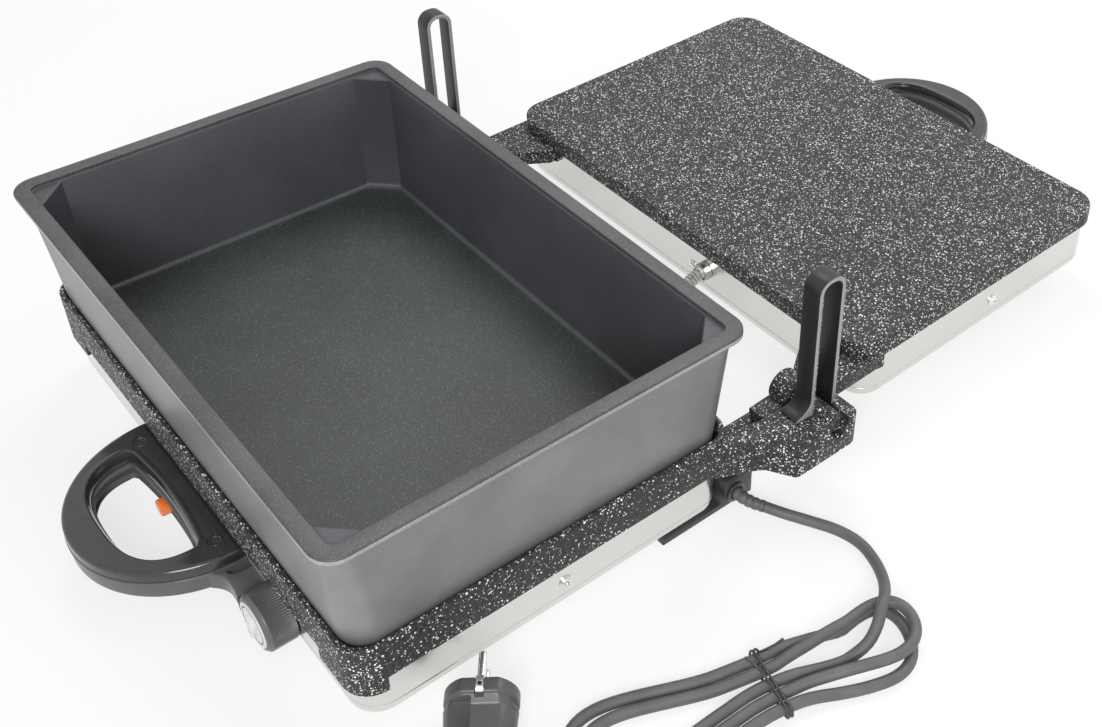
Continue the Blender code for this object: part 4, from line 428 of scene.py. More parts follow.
class Graph:
    """The node tree of one material, or of the world."""

    def __init__(self, owner: Union[bpy.types.Material, bpy.types.World]) -> None:
        """Opens the tree of a new material or world."""
        owner.use_nodes = True
        self.owner = owner
        self.tree = owner.node_tree
        self.shader = self.tree.nodes.get("Principled BSDF")

    def node(self, kind: str, settings: Settings, sockets: Settings, output: Union[int, str] = 0) -> Sock:
        """Adds a node.

        Args:
            kind: The node's type.
            settings: Its settings, which are set first.
            sockets: Values or links of its sockets, by name or number.
            output: The output that is given back.

        Returns:
            The chosen output.
        """
        made = self.tree.nodes.new(kind)
        for key, value in settings.items():
            setattr(made, key, value)
        for key, value in sockets.items():
            if isinstance(value, Sock):
                self.tree.links.new(value.socket, made.inputs[key])
            else:
                made.inputs[key].default_value = value
        return Sock(self, made.outputs[output])

    def vectors(self, operation: str, sockets: Settings, output: str = "Vector") -> Sock:
        """Adds one Vector Math node."""
        return self.node("ShaderNodeVectorMath", {"operation": operation}, sockets, output)

    def blend(self, share: Sock, first: Sock, second: Sock, target: str) -> None:
        """Sends a blend of two shaders to an output node."""
        mixed = self.node("ShaderNodeMixShader", {}, {0: share, 1: first, 2: second})
        self.tree.links.new(mixed.socket, self.tree.nodes[target].inputs[0])

    def place(self) -> Sock:
        """The surface point in the row frame."""
        return self.node("ShaderNodeTexCoord", {}, {}, "Object")

    def stretched(self, scale: Triple) -> Sock:
        """The surface point, scaled by axis."""
        return self.vectors("MULTIPLY", {0: self.place(), 1: scale})

    def noise(self, scale: float, detail: float, roughness: float = 0.55, at: Optional[Sock] = None) -> Sock:
        """Soft noise from 0 to 1."""
        sockets = {"Vector": at or self.place(), "Scale": scale, "Detail": detail, "Roughness": roughness}
        return self.node("ShaderNodeTexNoise", {}, sockets, "Fac")

    def cells(self, scale: float, output: str, at: Optional[Sock] = None) -> Sock:
        """The distance to the nearest of many scattered points, or that point's own colour."""
        sockets = {"Vector": at or self.place(), "Scale": scale}
        return self.node("ShaderNodeTexVoronoi", {}, sockets, output)

    def red_of(self, colour: Sock) -> Sock:
        """The red share of a colour."""
        return self.node("ShaderNodeSeparateColor", {}, {0: colour})

    def mix(self, share: Value, first: Any, second: Any) -> Sock:
        """Mixes two colours."""
        settings = {"data_type": "RGBA", "clamp_factor": True}
        colours = [colour if isinstance(colour, Sock) else (*colour, 1.0) for colour in (first, second)]
        return self.node("ShaderNodeMix", settings, {0: share, 6: colours[0], 7: colours[1]}, 2)

    def edge_mask(self, radius: float) -> Sock:
        """A mask of the edges: 1 where the surface turns within the radius."""
        soft = self.node("ShaderNodeBevel", {"samples": 4}, {"Radius": radius})
        plain = self.node("ShaderNodeNewGeometry", {}, {}, "Normal")
        same = self.vectors("DOT_PRODUCT", {0: soft, 1: plain}, "Value")
        return (1 - same).above(0.01, 0.12)

    def relief(self, height: Sock, strength: float, depth: float, edge: float) -> None:
        """Gives the surface its fine relief and rounds its edges."""
        soft = self.node("ShaderNodeBevel", {"samples": 4}, {"Radius": edge})
        sockets = {"Strength": strength, "Distance": depth, "Height": height, "Normal": soft}
        self.feed("Normal", self.node("ShaderNodeBump", {}, sockets))

    def feed(self, socket: str, value: Any) -> None:
        """Sets a socket of the shader to a number, a colour or a link."""
        target = self.shader.inputs[socket]
        if isinstance(value, Sock):
            self.tree.links.new(value.socket, target)
        else:
            target.default_value = (*value, 1.0) if isinstance(value, tuple) else value


def toned(colour: Triple, share: float) -> list[float]:
    """A lighter or darker tone of a colour."""
    return [min(1.0, part * share) for part in colour]


# Finishes


@dataclass(frozen=True)
class Finish:
    """A surface finish. Each kind adds its own nodes."""

    name: str
    slot: str

    def material(self) -> bpy.types.Material:
        """The finish's material, made once."""
        found = bpy.data.materials.get(self.name)
        if found:
            return found
        graph = Graph(bpy.data.materials.new(self.name))
        self.dress(graph)
        return graph.owner

    def dress(self, graph: Graph) -> None:
        """Adds the nodes of this finish."""
        raise NotImplementedError


@dataclass(frozen=True)
class SpeckledCoating(Finish):
    """A dark stone-look coating with white and black flecks on a casting."""

    ground: Triple = (0.038, 0.039, 0.041)
    fleck: Triple = (0.97, 0.96, 0.94)

    def dress(self, graph: Graph) -> None:
        """Adds flecks of mixed sizes over a mottled ground."""
        mottle = graph.noise(420.0, 4.0)
        drift = graph.noise(30.0, 2.0)
        sockets = {"Vector": graph.place(), "Scale": 1900.0, "Detail": 2.0}
        uneven = graph.node("ShaderNodeTexNoise", {}, sockets, "Color")
        shift = graph.vectors("SCALE", {0: uneven, "Scale": 0.0006})
        bent = graph.vectors("ADD", {0: graph.place(), 1: shift})
        ground = graph.mix(mottle.above(0.30, 0.4), toned(self.ground, 0.45), toned(self.ground, 1.35))
        small = self._flecks(graph, 1000.0, 1.12, bent) * 0.9
        white = self._flecks(graph, 600.0, 1.04, bent).larger(small)
        white = white * (0.75 + 0.25 * drift.above(0.35, 0.2))
        dark = self._flecks(graph, 610.0, 1.08, bent)
        colour = graph.mix(dark * 0.9, ground, (0.010, 0.010, 0.011))
        graph.feed("Base Color", graph.mix(white, colour, self.fleck))
        graph.feed("Roughness", 0.44 + 0.18 * mottle)
        graph.feed("Specular IOR Level", 0.22)
        graph.feed("Coat Weight", 0.05)
        graph.feed("Coat Roughness", 0.22)
        graph.relief(white * 0.5 + mottle * 0.6 + dark * -0.4, 0.35, 0.0003, 0.0007)

    @staticmethod
    def _flecks(graph: Graph, scale: float, reach: float, at: Sock) -> Sock:
        """Scattered flecks in fewer than half of the cells, each of its own size."""
        own = graph.red_of(graph.cells(scale, "Color", at))
        return ((own - 0.56) * reach - graph.cells(scale, "Distance", at)).above(-0.01, 0.05)


@dataclass(frozen=True)
class PanCoating(Finish):
    """A satin non-stick coating, with a coarser or finer grain."""

    low: Triple = (0.045, 0.049, 0.048)
    high: Triple = (0.065, 0.071, 0.069)
    grain: float = 1400.0
    gloss: float = 0.38
    metal: float = 0.15
    sparkle: float = 0.0
    relief_depth: float = 0.00008
    fine: float = 0.45

    def dress(self, graph: Graph) -> None:
        """Adds a cloudy colour, a fine grain and the bright points of the coating."""
        cloud = graph.noise(14.0, 3.0)
        grain = graph.noise(self.grain, 2.0)
        colour = graph.mix(cloud.above(0.3, 0.4), self.low, self.high)
        colour = graph.mix(grain.above(0.5, 0.2) * self.fine, colour, toned(self.high, 1.9))
        if self.sparkle:
            points = graph.red_of(graph.cells(1700.0, "Color")).above(0.93, 0.03)
            colour = graph.mix(points * self.sparkle, colour, (0.30, 0.34, 0.32))
        graph.feed("Base Color", colour)
        graph.feed("Roughness", self.gloss + 0.10 * cloud + 0.06 * grain)
        graph.feed("Metallic", self.metal)
        graph.relief(grain, 0.5, self.relief_depth, 0.0006)


@dataclass(frozen=True)
class PolishedSheet(Finish):
    """Bright polished sheet steel with faint rolling lines and a slight waviness."""

    colour: Triple = (0.72, 0.708, 0.682)
    gloss: float = 0.16

    def dress(self, graph: Graph) -> None:
        """Adds the rolling lines, the cloudy polish and the sheet's waviness."""
        lines = graph.noise(1.0, 2.0, 0.6, graph.stretched((24.0, 24.0, 900.0)))
        cloud = graph.noise(22.0, 3.0)
        wave = graph.noise(9.0, 1.0)
        dull = cloud.above(0.4, 0.3) * 0.35
        graph.feed("Base Color", graph.mix(dull, self.colour, toned(self.colour, 0.93)))
        graph.feed("Metallic", 1.0)
        graph.feed("Roughness", self.gloss + 0.07 * lines + 0.05 * cloud)
        graph.relief(wave * 0.9 + lines * 0.02, 0.18, 0.0012, 0.0008)


@dataclass(frozen=True)
class Moulding(Finish):
    """A black moulded plastic, glossy or satin, with a fine mould texture."""

    colour: Triple = (0.026, 0.026, 0.027)
    gloss: float = 0.12
    coat: float = 0.35
    texture: float = 0.04

    def dress(self, graph: Graph) -> None:
        """Adds handling haze, a little dust in the colour and the mould texture."""
        haze = graph.noise(45.0, 4.0)
        fine = graph.noise(2100.0, 2.0)
        speck = graph.noise(1500.0, 0.0).above(0.74, 0.04)
        colour = graph.mix(haze.above(0.45, 0.3) * 0.4, self.colour, toned(self.colour, 1.5))
        graph.feed("Base Color", graph.mix(speck * 0.15, colour, (0.30, 0.30, 0.30)))
        graph.feed("Roughness", self.gloss + 0.10 * haze)
        graph.feed("Coat Weight", self.coat)
        graph.feed("Coat Roughness", 0.08)
        graph.relief(fine, self.texture, 0.0002, 0.0005)


@dataclass(frozen=True)
class PaintedStrip(Finish):
    """Black paint on steel strip, lighter along its edges."""

    colour: Triple = (0.012, 0.0115, 0.011)
    edge_tone: Triple = (0.15, 0.148, 0.145)
    gloss: float = 0.38

    def dress(self, graph: Graph) -> None:
        """Adds the orange peel of the paint and lighter edges."""
        peel = graph.noise(700.0, 2.0)
        cloud = graph.noise(40.0, 3.0)
        # The edges are mixed towards a lighter tone, by an amount that varies in clouds.
        edge_share = graph.edge_mask(0.0009) * (0.35 + 0.55 * cloud.above(0.35, 0.25))
        ground = graph.mix(cloud, self.colour, toned(self.colour, 1.5))
        graph.feed("Base Color", graph.mix(edge_share, ground, self.edge_tone))
        graph.feed("Roughness", self.gloss + 0.14 * peel)
        graph.feed("Metallic", 0.1)
        graph.relief(peel, 0.25, 0.0002, 0.0006)


@dataclass(frozen=True)
class Sheath(Finish):
    """The matt rubber sheath of a mains lead."""

    colour: Triple = (0.106, 0.102, 0.106)

    def dress(self, graph: Graph) -> None:
        """Adds dusty scuffs and the fine drawn grain."""
        cloud = graph.noise(60.0, 4.0)
        grain = graph.noise(1300.0, 3.0)
        scuffs = cloud.above(0.4, 0.3) * 0.6
        graph.feed("Base Color", graph.mix(scuffs, self.colour, toned(self.colour, 1.35)))
        graph.feed("Roughness", 0.46 + 0.12 * grain)
        graph.relief(grain, 0.25, 0.0001, 0.0003)


@dataclass(frozen=True)
class BareMetal(Finish):
    """Plain metal: plated, zinc coated or darkened by heat."""

    colour: Triple = (0.66, 0.66, 0.65)
    dull: Triple = (0.42, 0.42, 0.41)
    gloss: float = 0.24

    def dress(self, graph: Graph) -> None:
        """Adds the cloudy plating and fine scratches."""
        cloud = graph.noise(160.0, 4.0)
        scratch = graph.noise(1.0, 3.0, 0.6, graph.stretched((300.0, 300.0, 1800.0)))
        graph.feed("Base Color", graph.mix(cloud.above(0.4, 0.3), self.colour, self.dull))
        graph.feed("Metallic", 1.0)
        graph.feed("Roughness", self.gloss + 0.14 * cloud + 0.05 * scratch)
        graph.relief(scratch, 0.2, 0.00008, 0.0003)


@dataclass(frozen=True)
class TintedLens(Finish):
    """The clear tinted plastic of the pilot lamp, with a faint painted glow though the lamp is off."""

    colour: Triple = (0.86, 0.20, 0.012)

    def dress(self, graph: Graph) -> None:
        """Adds a deeper tint in clouds, as light gathers in the lens, and a faint painted glow."""
        cloud = graph.noise(420.0, 2.0)
        graph.feed("Base Color", graph.mix(cloud.above(0.4, 0.25), self.colour, (0.80, 0.14, 0.01)))
        graph.feed("Roughness", 0.10 + 0.05 * cloud)
        graph.feed("Coat Weight", 0.6)
        # Painted glow: the unlit lens emits a faint orange light.
        graph.feed("Emission Color", graph.mix(cloud, (1.0, 0.30, 0.02), (0.9, 0.18, 0.01)))
        graph.feed("Emission Strength", 0.12)
        graph.relief(cloud, 0.1, 0.0001, 0.0004)


@dataclass(frozen=True)
class PaleMoulding(Finish):
    """The pale heat-proof plastic of the parts inside."""

    colour: Triple = (0.72, 0.69, 0.60)

    def dress(self, graph: Graph) -> None:
        """Adds faint browning and a fine grain."""
        cloud = graph.noise(90.0, 4.0)
        browning = cloud.above(0.45, 0.3) * 0.5
        graph.feed("Base Color", graph.mix(browning, self.colour, toned(self.colour, 0.8)))
        graph.feed("Roughness", 0.48 + 0.1 * cloud)
        graph.relief(graph.noise(1600.0, 2.0), 0.15, 0.0001, 0.0003)


STONE = SpeckledCoating("stone_coating", "speckled_casting")
PAN = "pan_coating"
PAN_FLOOR = PanCoating("pan_floor", PAN, (0.034, 0.039, 0.038), (0.048, 0.055, 0.053), sparkle=0.35)
PAN_WALL = PanCoating("pan_wall", PAN, (0.052, 0.055, 0.061), (0.068, 0.071, 0.078), 1600.0, 0.36)
RIM_TONES = ((0.056, 0.057, 0.058), (0.088, 0.090, 0.092))
PAN_RIM = PanCoating("pan_rim", PAN, *RIM_TONES, 900.0, 0.38, 0.25, relief_depth=0.0005)
# Painted highlight: the rim's lower outer edge is coloured far lighter than the rest of the coating, to stand
# in for light that it catches.
PAN_PAINTED_HIGHLIGHT = PanCoating("pan_edge_painted_highlight", PAN, (0.28, 0.285, 0.285), (0.40, 0.405, 0.405), 900.0, 0.28, 0.5)
OUTSIDE_TONES = ((0.190, 0.198, 0.188), (0.250, 0.258, 0.247))
PAN_OUTSIDE = PanCoating("pan_outside", PAN, *OUTSIDE_TONES, 1500.0, 0.34, 0.40, fine=0.18)
SHEET = PolishedSheet("polished_sheet", "bright_steel")
SCREW_STEEL = BareMetal("screw_plating", "bright_steel", (0.88, 0.88, 0.86), (0.70, 0.70, 0.68), 0.12)
GLOSSY = Moulding("glossy_moulding", "gloss_black")
# Painted reflection: the lower handle moulding is black plastic like the cover, coloured mid grey to stand in
# for the pale surround mirrored in its sides.
SIDE_PAINTED_REFLECTION = Moulding("handle_side_painted_reflection", "gloss_black", (0.084, 0.083, 0.086), 0.30, 0.20, 0.05)
KNOB_GREY = Moulding("knob_moulding", "satin_black", (0.098, 0.095, 0.099), 0.34, 0.15, 0.06)
PLUG_GREY = Moulding("plug_moulding", "satin_black", (0.072, 0.070, 0.072), 0.36, 0.15, 0.08)
SATIN = Moulding("satin_moulding", "satin_black", (0.034, 0.033, 0.034), 0.34, 0.10, 0.10)
DARK_CAP = Moulding("screw_cap", "satin_black", (0.028, 0.028, 0.029), 0.22, 0.25, 0.05)
RUBBER = Moulding("foot_rubber", "rubber_foot", (0.030, 0.030, 0.031), 0.60, 0.0, 0.20)
STRIP = PaintedStrip("painted_strip", "black_steel")
# The strip's side faces across X take a lighter grey than its broad faces.
STRIP_EDGE = PaintedStrip("strip_side_tone", "black_steel", (0.24, 0.24, 0.235), (0.42, 0.42, 0.41), 0.36)
SHEATH = Sheath("lead_sheath", "cord_rubber")
LENS = TintedLens("lamp_lens_tint_and_painted_glow", "lamp_orange")
METAL = BareMetal("plain_metal", "plain_steel")
DIAL = Moulding("dial_silver", "plain_steel", (0.66, 0.66, 0.66), 0.24, 0.25, 0.06)
GROOVE = Moulding("dial_groove", "satin_black", (0.02, 0.02, 0.02), 0.5, 0.0, 0.05)
HOSE = BareMetal("hose_zinc", "plain_steel", (0.60, 0.60, 0.585), (0.36, 0.36, 0.355), 0.30)
HEATED = BareMetal("heater_sheath", "heater_steel", (0.22, 0.20, 0.19), (0.10, 0.095, 0.10), 0.42)
PALE = PaleMoulding("pale_moulding", "cream_plastic")


def make_piece(
    name: str,
    shape: Shape,
    finishes: Union[Finish, Sequence[Finish]],
    body: Optional[str],
    replaces: Sequence[str] = (),
    turn: Optional[Matrix] = None,
    angle: float = 32.0,
) -> Piece:
    """Makes one named piece.

    Args:
        name: The piece's name.
        shape: Its mesh, drawn in the row frame. It is freed.
        finishes: Its finish, or one for each material slot.
        body: The body that it rides on, or None for a piece that rides on none.
        replaces: The frame's nodes that it stands for.
        turn: A last turn of the mesh, for pieces of the tilted lid.
        angle: Edges sharper than this many degrees stay sharp.

    Returns:
        The piece.
    """
    if turn is not None:
        shape.transform(turn)
    mesh = mesh_of(name, shape)
    mesh.shade_smooth()
    mesh.set_sharp_from_angle(angle=math.radians(angle))
    chosen = [finishes] if isinstance(finishes, Finish) else list(finishes)
    for finish in chosen:
        mesh.materials.append(finish.material())
    piece = put(name, mesh)
    if body is not None:
        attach(piece, body)
    if replaces:
        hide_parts(*replaces)
    LOG.info("%s: %d faces, on %s", name, len(mesh.polygons), body)
    return piece


def dress_node(node: str, finish: Finish) -> None:
    """Gives a node of the frame that stays its finish."""
    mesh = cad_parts[node].data
    mesh.materials.clear()
    mesh.materials.append(finish.material())
    LOG.info("%s: dressed with %s", node, finish.name)


# The set: camera, lights and floor


@dataclass(frozen=True)
class PhotoCamera:
    """The camera at the photograph's place, angle and framing."""

    place: Triple = (0.6504, -0.2937, 0.6638)
    azimuth: float = 48.330
    elevation: float = 36.745
    roll: float = 1.277
    focal_pixels: float = 1385.72
    centre: Flat = (703.365, 253.10)
    frame_pixels: Flat = (1102.0, 727.0)
    sensor: float = 36.0

    def build(self) -> None:
        """Makes the camera and sets it as the scene's."""
        turn, lift, roll = (math.radians(angle) for angle in (self.azimuth, self.elevation, self.roll))
        ahead = Vector((-math.sin(turn) * math.cos(lift), math.cos(turn) * math.cos(lift), -math.sin(lift)))
        right = Vector((math.cos(turn), math.sin(turn), 0.0))
        up = right.cross(ahead)
        across = right * math.cos(roll) + up * math.sin(roll)
        over = up * math.cos(roll) - right * math.sin(roll)
        data = bpy.data.cameras.new("photo_camera")
        width, height = self.frame_pixels
        data.sensor_fit = "HORIZONTAL"
        data.sensor_width = self.sensor
        data.lens = self.focal_pixels * self.sensor / width
        data.shift_x = (width / 2 - self.centre[0]) / width
        data.shift_y = (self.centre[1] - height / 2) / width
        data.clip_start = 0.01
        camera = put("photo_camera", data)
        axes = Matrix((across, over, -ahead)).transposed().to_4x4()
        camera.matrix_world = Matrix.Translation(self.place) @ axes
        bpy.context.scene.camera = camera


@dataclass(frozen=True)
class Studio:
    """A pale floor, a white surround and soft lamps."""

    floor_half: float = 6.0
    floor_colour: Triple = (0.93, 0.93, 0.925)
    floor_below: float = 0.0001
    floor_share: float = 0.72
    lit: float = 0.45
    aim: Triple = (0.0, 0.15, 0.0)
    lamps: tuple[tuple[Triple, float, float], ...] = (
        ((1.3, -0.9, 1.1), 0.8, 22.0),
        ((-0.8, 0.75, 1.9), 0.9, 13.0),
        ((0.2, 1.6, 1.2), 1.1, 9.0),
    )

    def build(self) -> None:
        """Makes the floor, the surround and the lamps, and leaves the object's colours plain."""
        bpy.context.scene.view_settings.view_transform = "Standard"
        self._surround()
        self._floor()
        for index, (place, size, power) in enumerate(self.lamps):
            data = bpy.data.lights.new(f"softbox_{index}", "AREA")
            data.shape = "DISK"
            data.size = size
            data.energy = power
            lamp = put(f"softbox_{index}", data)
            lamp.location = place
            way = Vector(self.aim) - Vector(place)
            lamp.rotation_euler = way.to_track_quat("-Z", "Y").to_euler()

    @staticmethod
    def _seen(graph: Graph) -> Sock:
        """1 for rays of the camera, for mirrored ones and for those that a lens sends on."""
        names = ("Is Camera Ray", "Is Glossy Ray", "Is Transmission Ray")
        camera, mirror, lens = (graph.node("ShaderNodeLightPath", {}, {}, name) for name in names)
        return camera.larger(mirror).larger(lens)

    def _surround(self) -> None:
        """A white surround that lights the object a little less than it shows."""
        world = bpy.data.worlds.new("surround")
        graph = Graph(world)
        lit, shown = (
            graph.node("ShaderNodeBackground", {}, {"Color": WHITE, "Strength": strength})
            for strength in (self.lit, 1.0)
        )
        graph.blend(self._seen(graph), lit, shown, "World Output")
        bpy.context.scene.world = world

    def _floor(self) -> None:
        """A pale floor whose shadows are lighter to the camera than they fall."""
        graph = Graph(bpy.data.materials.new("floor"))
        graph.feed("Base Color", self.floor_colour)
        graph.feed("Roughness", 0.9)
        graph.feed("Specular IOR Level", 0.1)
        glow = graph.node("ShaderNodeEmission", {}, {"Color": WHITE})
        plain = Sock(graph, graph.shader.outputs[0])
        graph.blend(self._seen(graph) * self.floor_share, plain, glow, "Material Output")
        shape = bmesh.new()
        corners = [(self.floor_half * x, self.floor_half * y) for x, y in SQUARE]
        shape.faces.new([shape.verts.new(point) for point in level(corners, -self.floor_below)])
        mesh = mesh_of("floor", shape)
        mesh.materials.append(graph.owner)
        put("floor", mesh)


# Mains lead


@dataclass(frozen=True)
class MainsLead:
    """The lead from its strain relief to the plug, wound in a flat hank in between."""

    diameter: float = 0.0072
    step: float = 0.004
    hank_centre: Flat = (0.3190, 0.0578)
    hank_angle: float = math.radians(76.5)
    near_half: float = 0.0985
    near_shortening: float = 0.0040
    far_half: float = 0.1080
    waist: float = 0.0004
    lobe: float = 0.0340
    turn_step: float = 0.0086
    lobe_step: float = 0.0092
    rise: float = 0.0079
    rise_start: float = 0.08
    rise_haste: float = 1.9
    start: float = math.radians(76.0)
    end: float = math.radians(845.0)
    loop_points: int = 96
    waist_lift: float = 0.0022
    lift_spread: float = 0.025
    run_in: float = 0.0190
    relief_radius: float = 0.0047
    relief_taper: float = 0.0008
    groove_depth: float = 0.00055
    groove_pitch: float = 2.2
    groove_shares: Flat = (0.30, 0.93)
    tie_gap: float = 0.0012
    tie_slack: float = 0.0008
    tie_width: float = 0.005
    tie_lift: float = 0.0047
    relief_route: tuple[Triple, ...] = (
        (0.1922, 0.1380, 0.0085),
        (0.1967, 0.1380, 0.0085),
        (0.2028, 0.1380, 0.0085),
        (0.2085, 0.1385, 0.0083),
        (0.2150, 0.1408, 0.0075),
        (0.2215, 0.1446, 0.0066),
    )
    lead_route: tuple[Triple, ...] = (
        (0.2485, 0.1610, 0.0036),
        (0.2656, 0.1690, 0.0036),
        (0.2818, 0.1713, 0.0038),
        (0.2984, 0.1661, 0.0062),
        (0.3140, 0.1557, 0.0125),
        (0.3250, 0.1445, 0.0185),
        (0.3318, 0.1345, 0.0200),
        (0.3375, 0.1245, 0.0150),
        (0.3393, 0.1140, 0.0092),
    )
    tail_route: tuple[Triple, ...] = (
        (0.3300, -0.0620, 0.0036),
        (0.3278, -0.0800, 0.0036),
        (0.3221, -0.1018, 0.0036),
        (0.3111, -0.1128, 0.0042),
        (0.2961, -0.1168, 0.0066),
        (0.2858, -0.1150, 0.0094),
    )

    def ways(self) -> tuple[Vector, Vector]:
        """Along the hank, and across it away from the grill."""
        way = Vector((math.cos(self.hank_angle), math.sin(self.hank_angle), 0.0))
        return way, Vector((way.y, -way.x, 0.0))

    def hank_point(self, angle: float) -> Vector:
        """A point of the hank's centre line."""
        radius = self.diameter / 2
        turns = angle / (2 * math.pi)
        cosine = math.cos(angle)
        sine = math.sin(angle)
        near = cosine > 0
        stacking = QUARTER * min(1.0, max(0.0, self.rise_haste * (cosine - self.rise_start)))
        side_share = (1 + sine) / 2
        spread_share = side_share + (1 - side_share) * math.cos(stacking)
        growth = self.turn_step * turns
        reach = self.near_half - self.near_shortening * turns if near else self.far_half + growth
        lobe = self.lobe + self.lobe_step * turns * spread_share
        along = reach * cosine
        beside = (self.waist + growth * spread_share + lobe * cosine**2) * sine
        height = radius + self.waist_lift * math.exp(-((along / self.lift_spread) ** 4))
        if near and math.pi * 1.5 < angle < math.pi * 2.5:
            height += self.rise * math.sin(stacking)
        way, side = self.ways()
        return Vector((*self.hank_centre, height)) + way * along + side * beside

    def hank(self) -> list[Vector]:
        """The hank's centre line."""
        count = round((self.end - self.start) / (2 * math.pi) * self.loop_points)
        return [self.hank_point(self.start + (self.end - self.start) * i / count) for i in range(count + 1)]

    def relief(self) -> list[Vector]:
        """The strain relief's centre line."""
        return smooth_route([Vector(point) for point in self.relief_route], 0.0010)

    def route(self, plug: "Plug") -> list[Vector]:
        """The whole lead's centre line, from the strain relief to the plug's back."""
        radius = self.diameter / 2
        hank = self.hank()
        relief = self.relief()
        out = (relief[-1] - relief[-2]).normalized()
        way = (hank[1] - hank[0]).normalized()
        end = hank[0] - way * CLEAR
        lead = [relief[-1] + out * CLEAR, relief[-1] + out * 0.015]
        lead += [Vector(point) for point in self.lead_route]
        lead += [end - way * self.run_in, end - way * self.run_in / 2, end]
        way = (hank[-1] - hank[-2]).normalized()
        start = hank[-1] + way * CLEAR
        back, behind = plug.back()
        tail = [start, start + way * self.run_in / 2, start + way * self.run_in]
        tail += [Vector(point) for point in self.tail_route]
        tail += [behind, back]
        return [*smooth_route(lead, self.step, radius), *hank, *smooth_route(tail, self.step, radius)]

    def build(self, plug: "Plug") -> None:
        route = self.route(plug)
        curve = bpy.data.curves.new("mains_lead", "CURVE")
        curve.dimensions = "3D"
        curve.bevel_depth = self.diameter / 2
        curve.bevel_resolution = 7
        curve.use_fill_caps = True
        spline = curve.splines.new("POLY")
        spline.points.add(len(route) - 1)
        for target, point in zip(spline.points, route):
            target.co = (*point, 1.0)
        curve.materials.append(SHEATH.material())
        lead = put("mains_lead", curve)
        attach(lead, "base")
        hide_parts("power_cord", "cord_hank", "cord_tail")
        self._relief_piece()
        others = [self._tie(), *plug.build()]
        length = route_length(route)
        LOG.info("mains_lead: %.3f m", length)

    def _relief_piece(self) -> None:
        """The tapered strain relief, ringed by grooves."""
        route = self.relief()
        low, high = self.groove_shares
        radii = []
        for i in range(len(route)):
            share = i / (len(route) - 1)
            wave = max(0.0, math.sin(i * math.pi / self.groove_pitch)) if low < share < high else 0.0
            radii.append(self.relief_radius - self.relief_taper * share - self.groove_depth * wave)
        shape = loft(sweep(route, radii, 32))
        make_piece("strain_relief_sleeve", shape, SHEATH, "base", ["cord_strain_relief"])

    def _tie(self) -> Piece:
        """A plastic covered wire wound twice round the waist, with its ends twisted up."""
        way, side = self.ways()
        middle = Vector((*self.hank_centre, 0.0))
        places = [(self.hank_point(math.pi * (0.5 + i)) - middle).dot(side) for i in range(5)]
        outside = self.diameter / 2 + self.tie_gap
        bend = (max(places) - min(places)) / 2 + self.tie_slack
        up = Vector((0.0, 0.0, 1.0))
        centre = middle + up * (self.diameter / 2 + self.waist_lift)
        centre += side * ((min(places) + max(places)) / 2)
        loop = [(0.0, outside), *arc((bend, 0.0), outside, QUARTER, -QUARTER, 18)]
        loop += [(0.0, -outside), *arc((-bend, 0.0), outside, -QUARTER, -3 * QUARTER, 18)]
        wound = loop * 2
        points = []
        for i, (out, height) in enumerate(wound):
            drift = way * (self.tie_width * (i / len(wound) - 0.5))
            points.append(centre + side * out + up * height + drift)
        first, last, lift = points[0], points[-1], up * self.tie_lift
        points = [
            first + lift * 1.6 - side * 0.014 - way * 0.007,
            first + lift * 1.2 - side * 0.007 - way * 0.0035,
            *points,
            last + lift + side * 0.0035 + way * 0.0047,
            last + lift * 1.5 + side * 0.0028 + way * 0.014,
        ]
        fine = smooth_route(points, 0.0008)
        radii = [0.00082 if i % 2 else 0.00074 for i in range(len(fine))]
        return make_piece("tie_wire", loft(sweep(fine, radii, 10)), SATIN, "base", ["cord_tie"], angle=60.0)


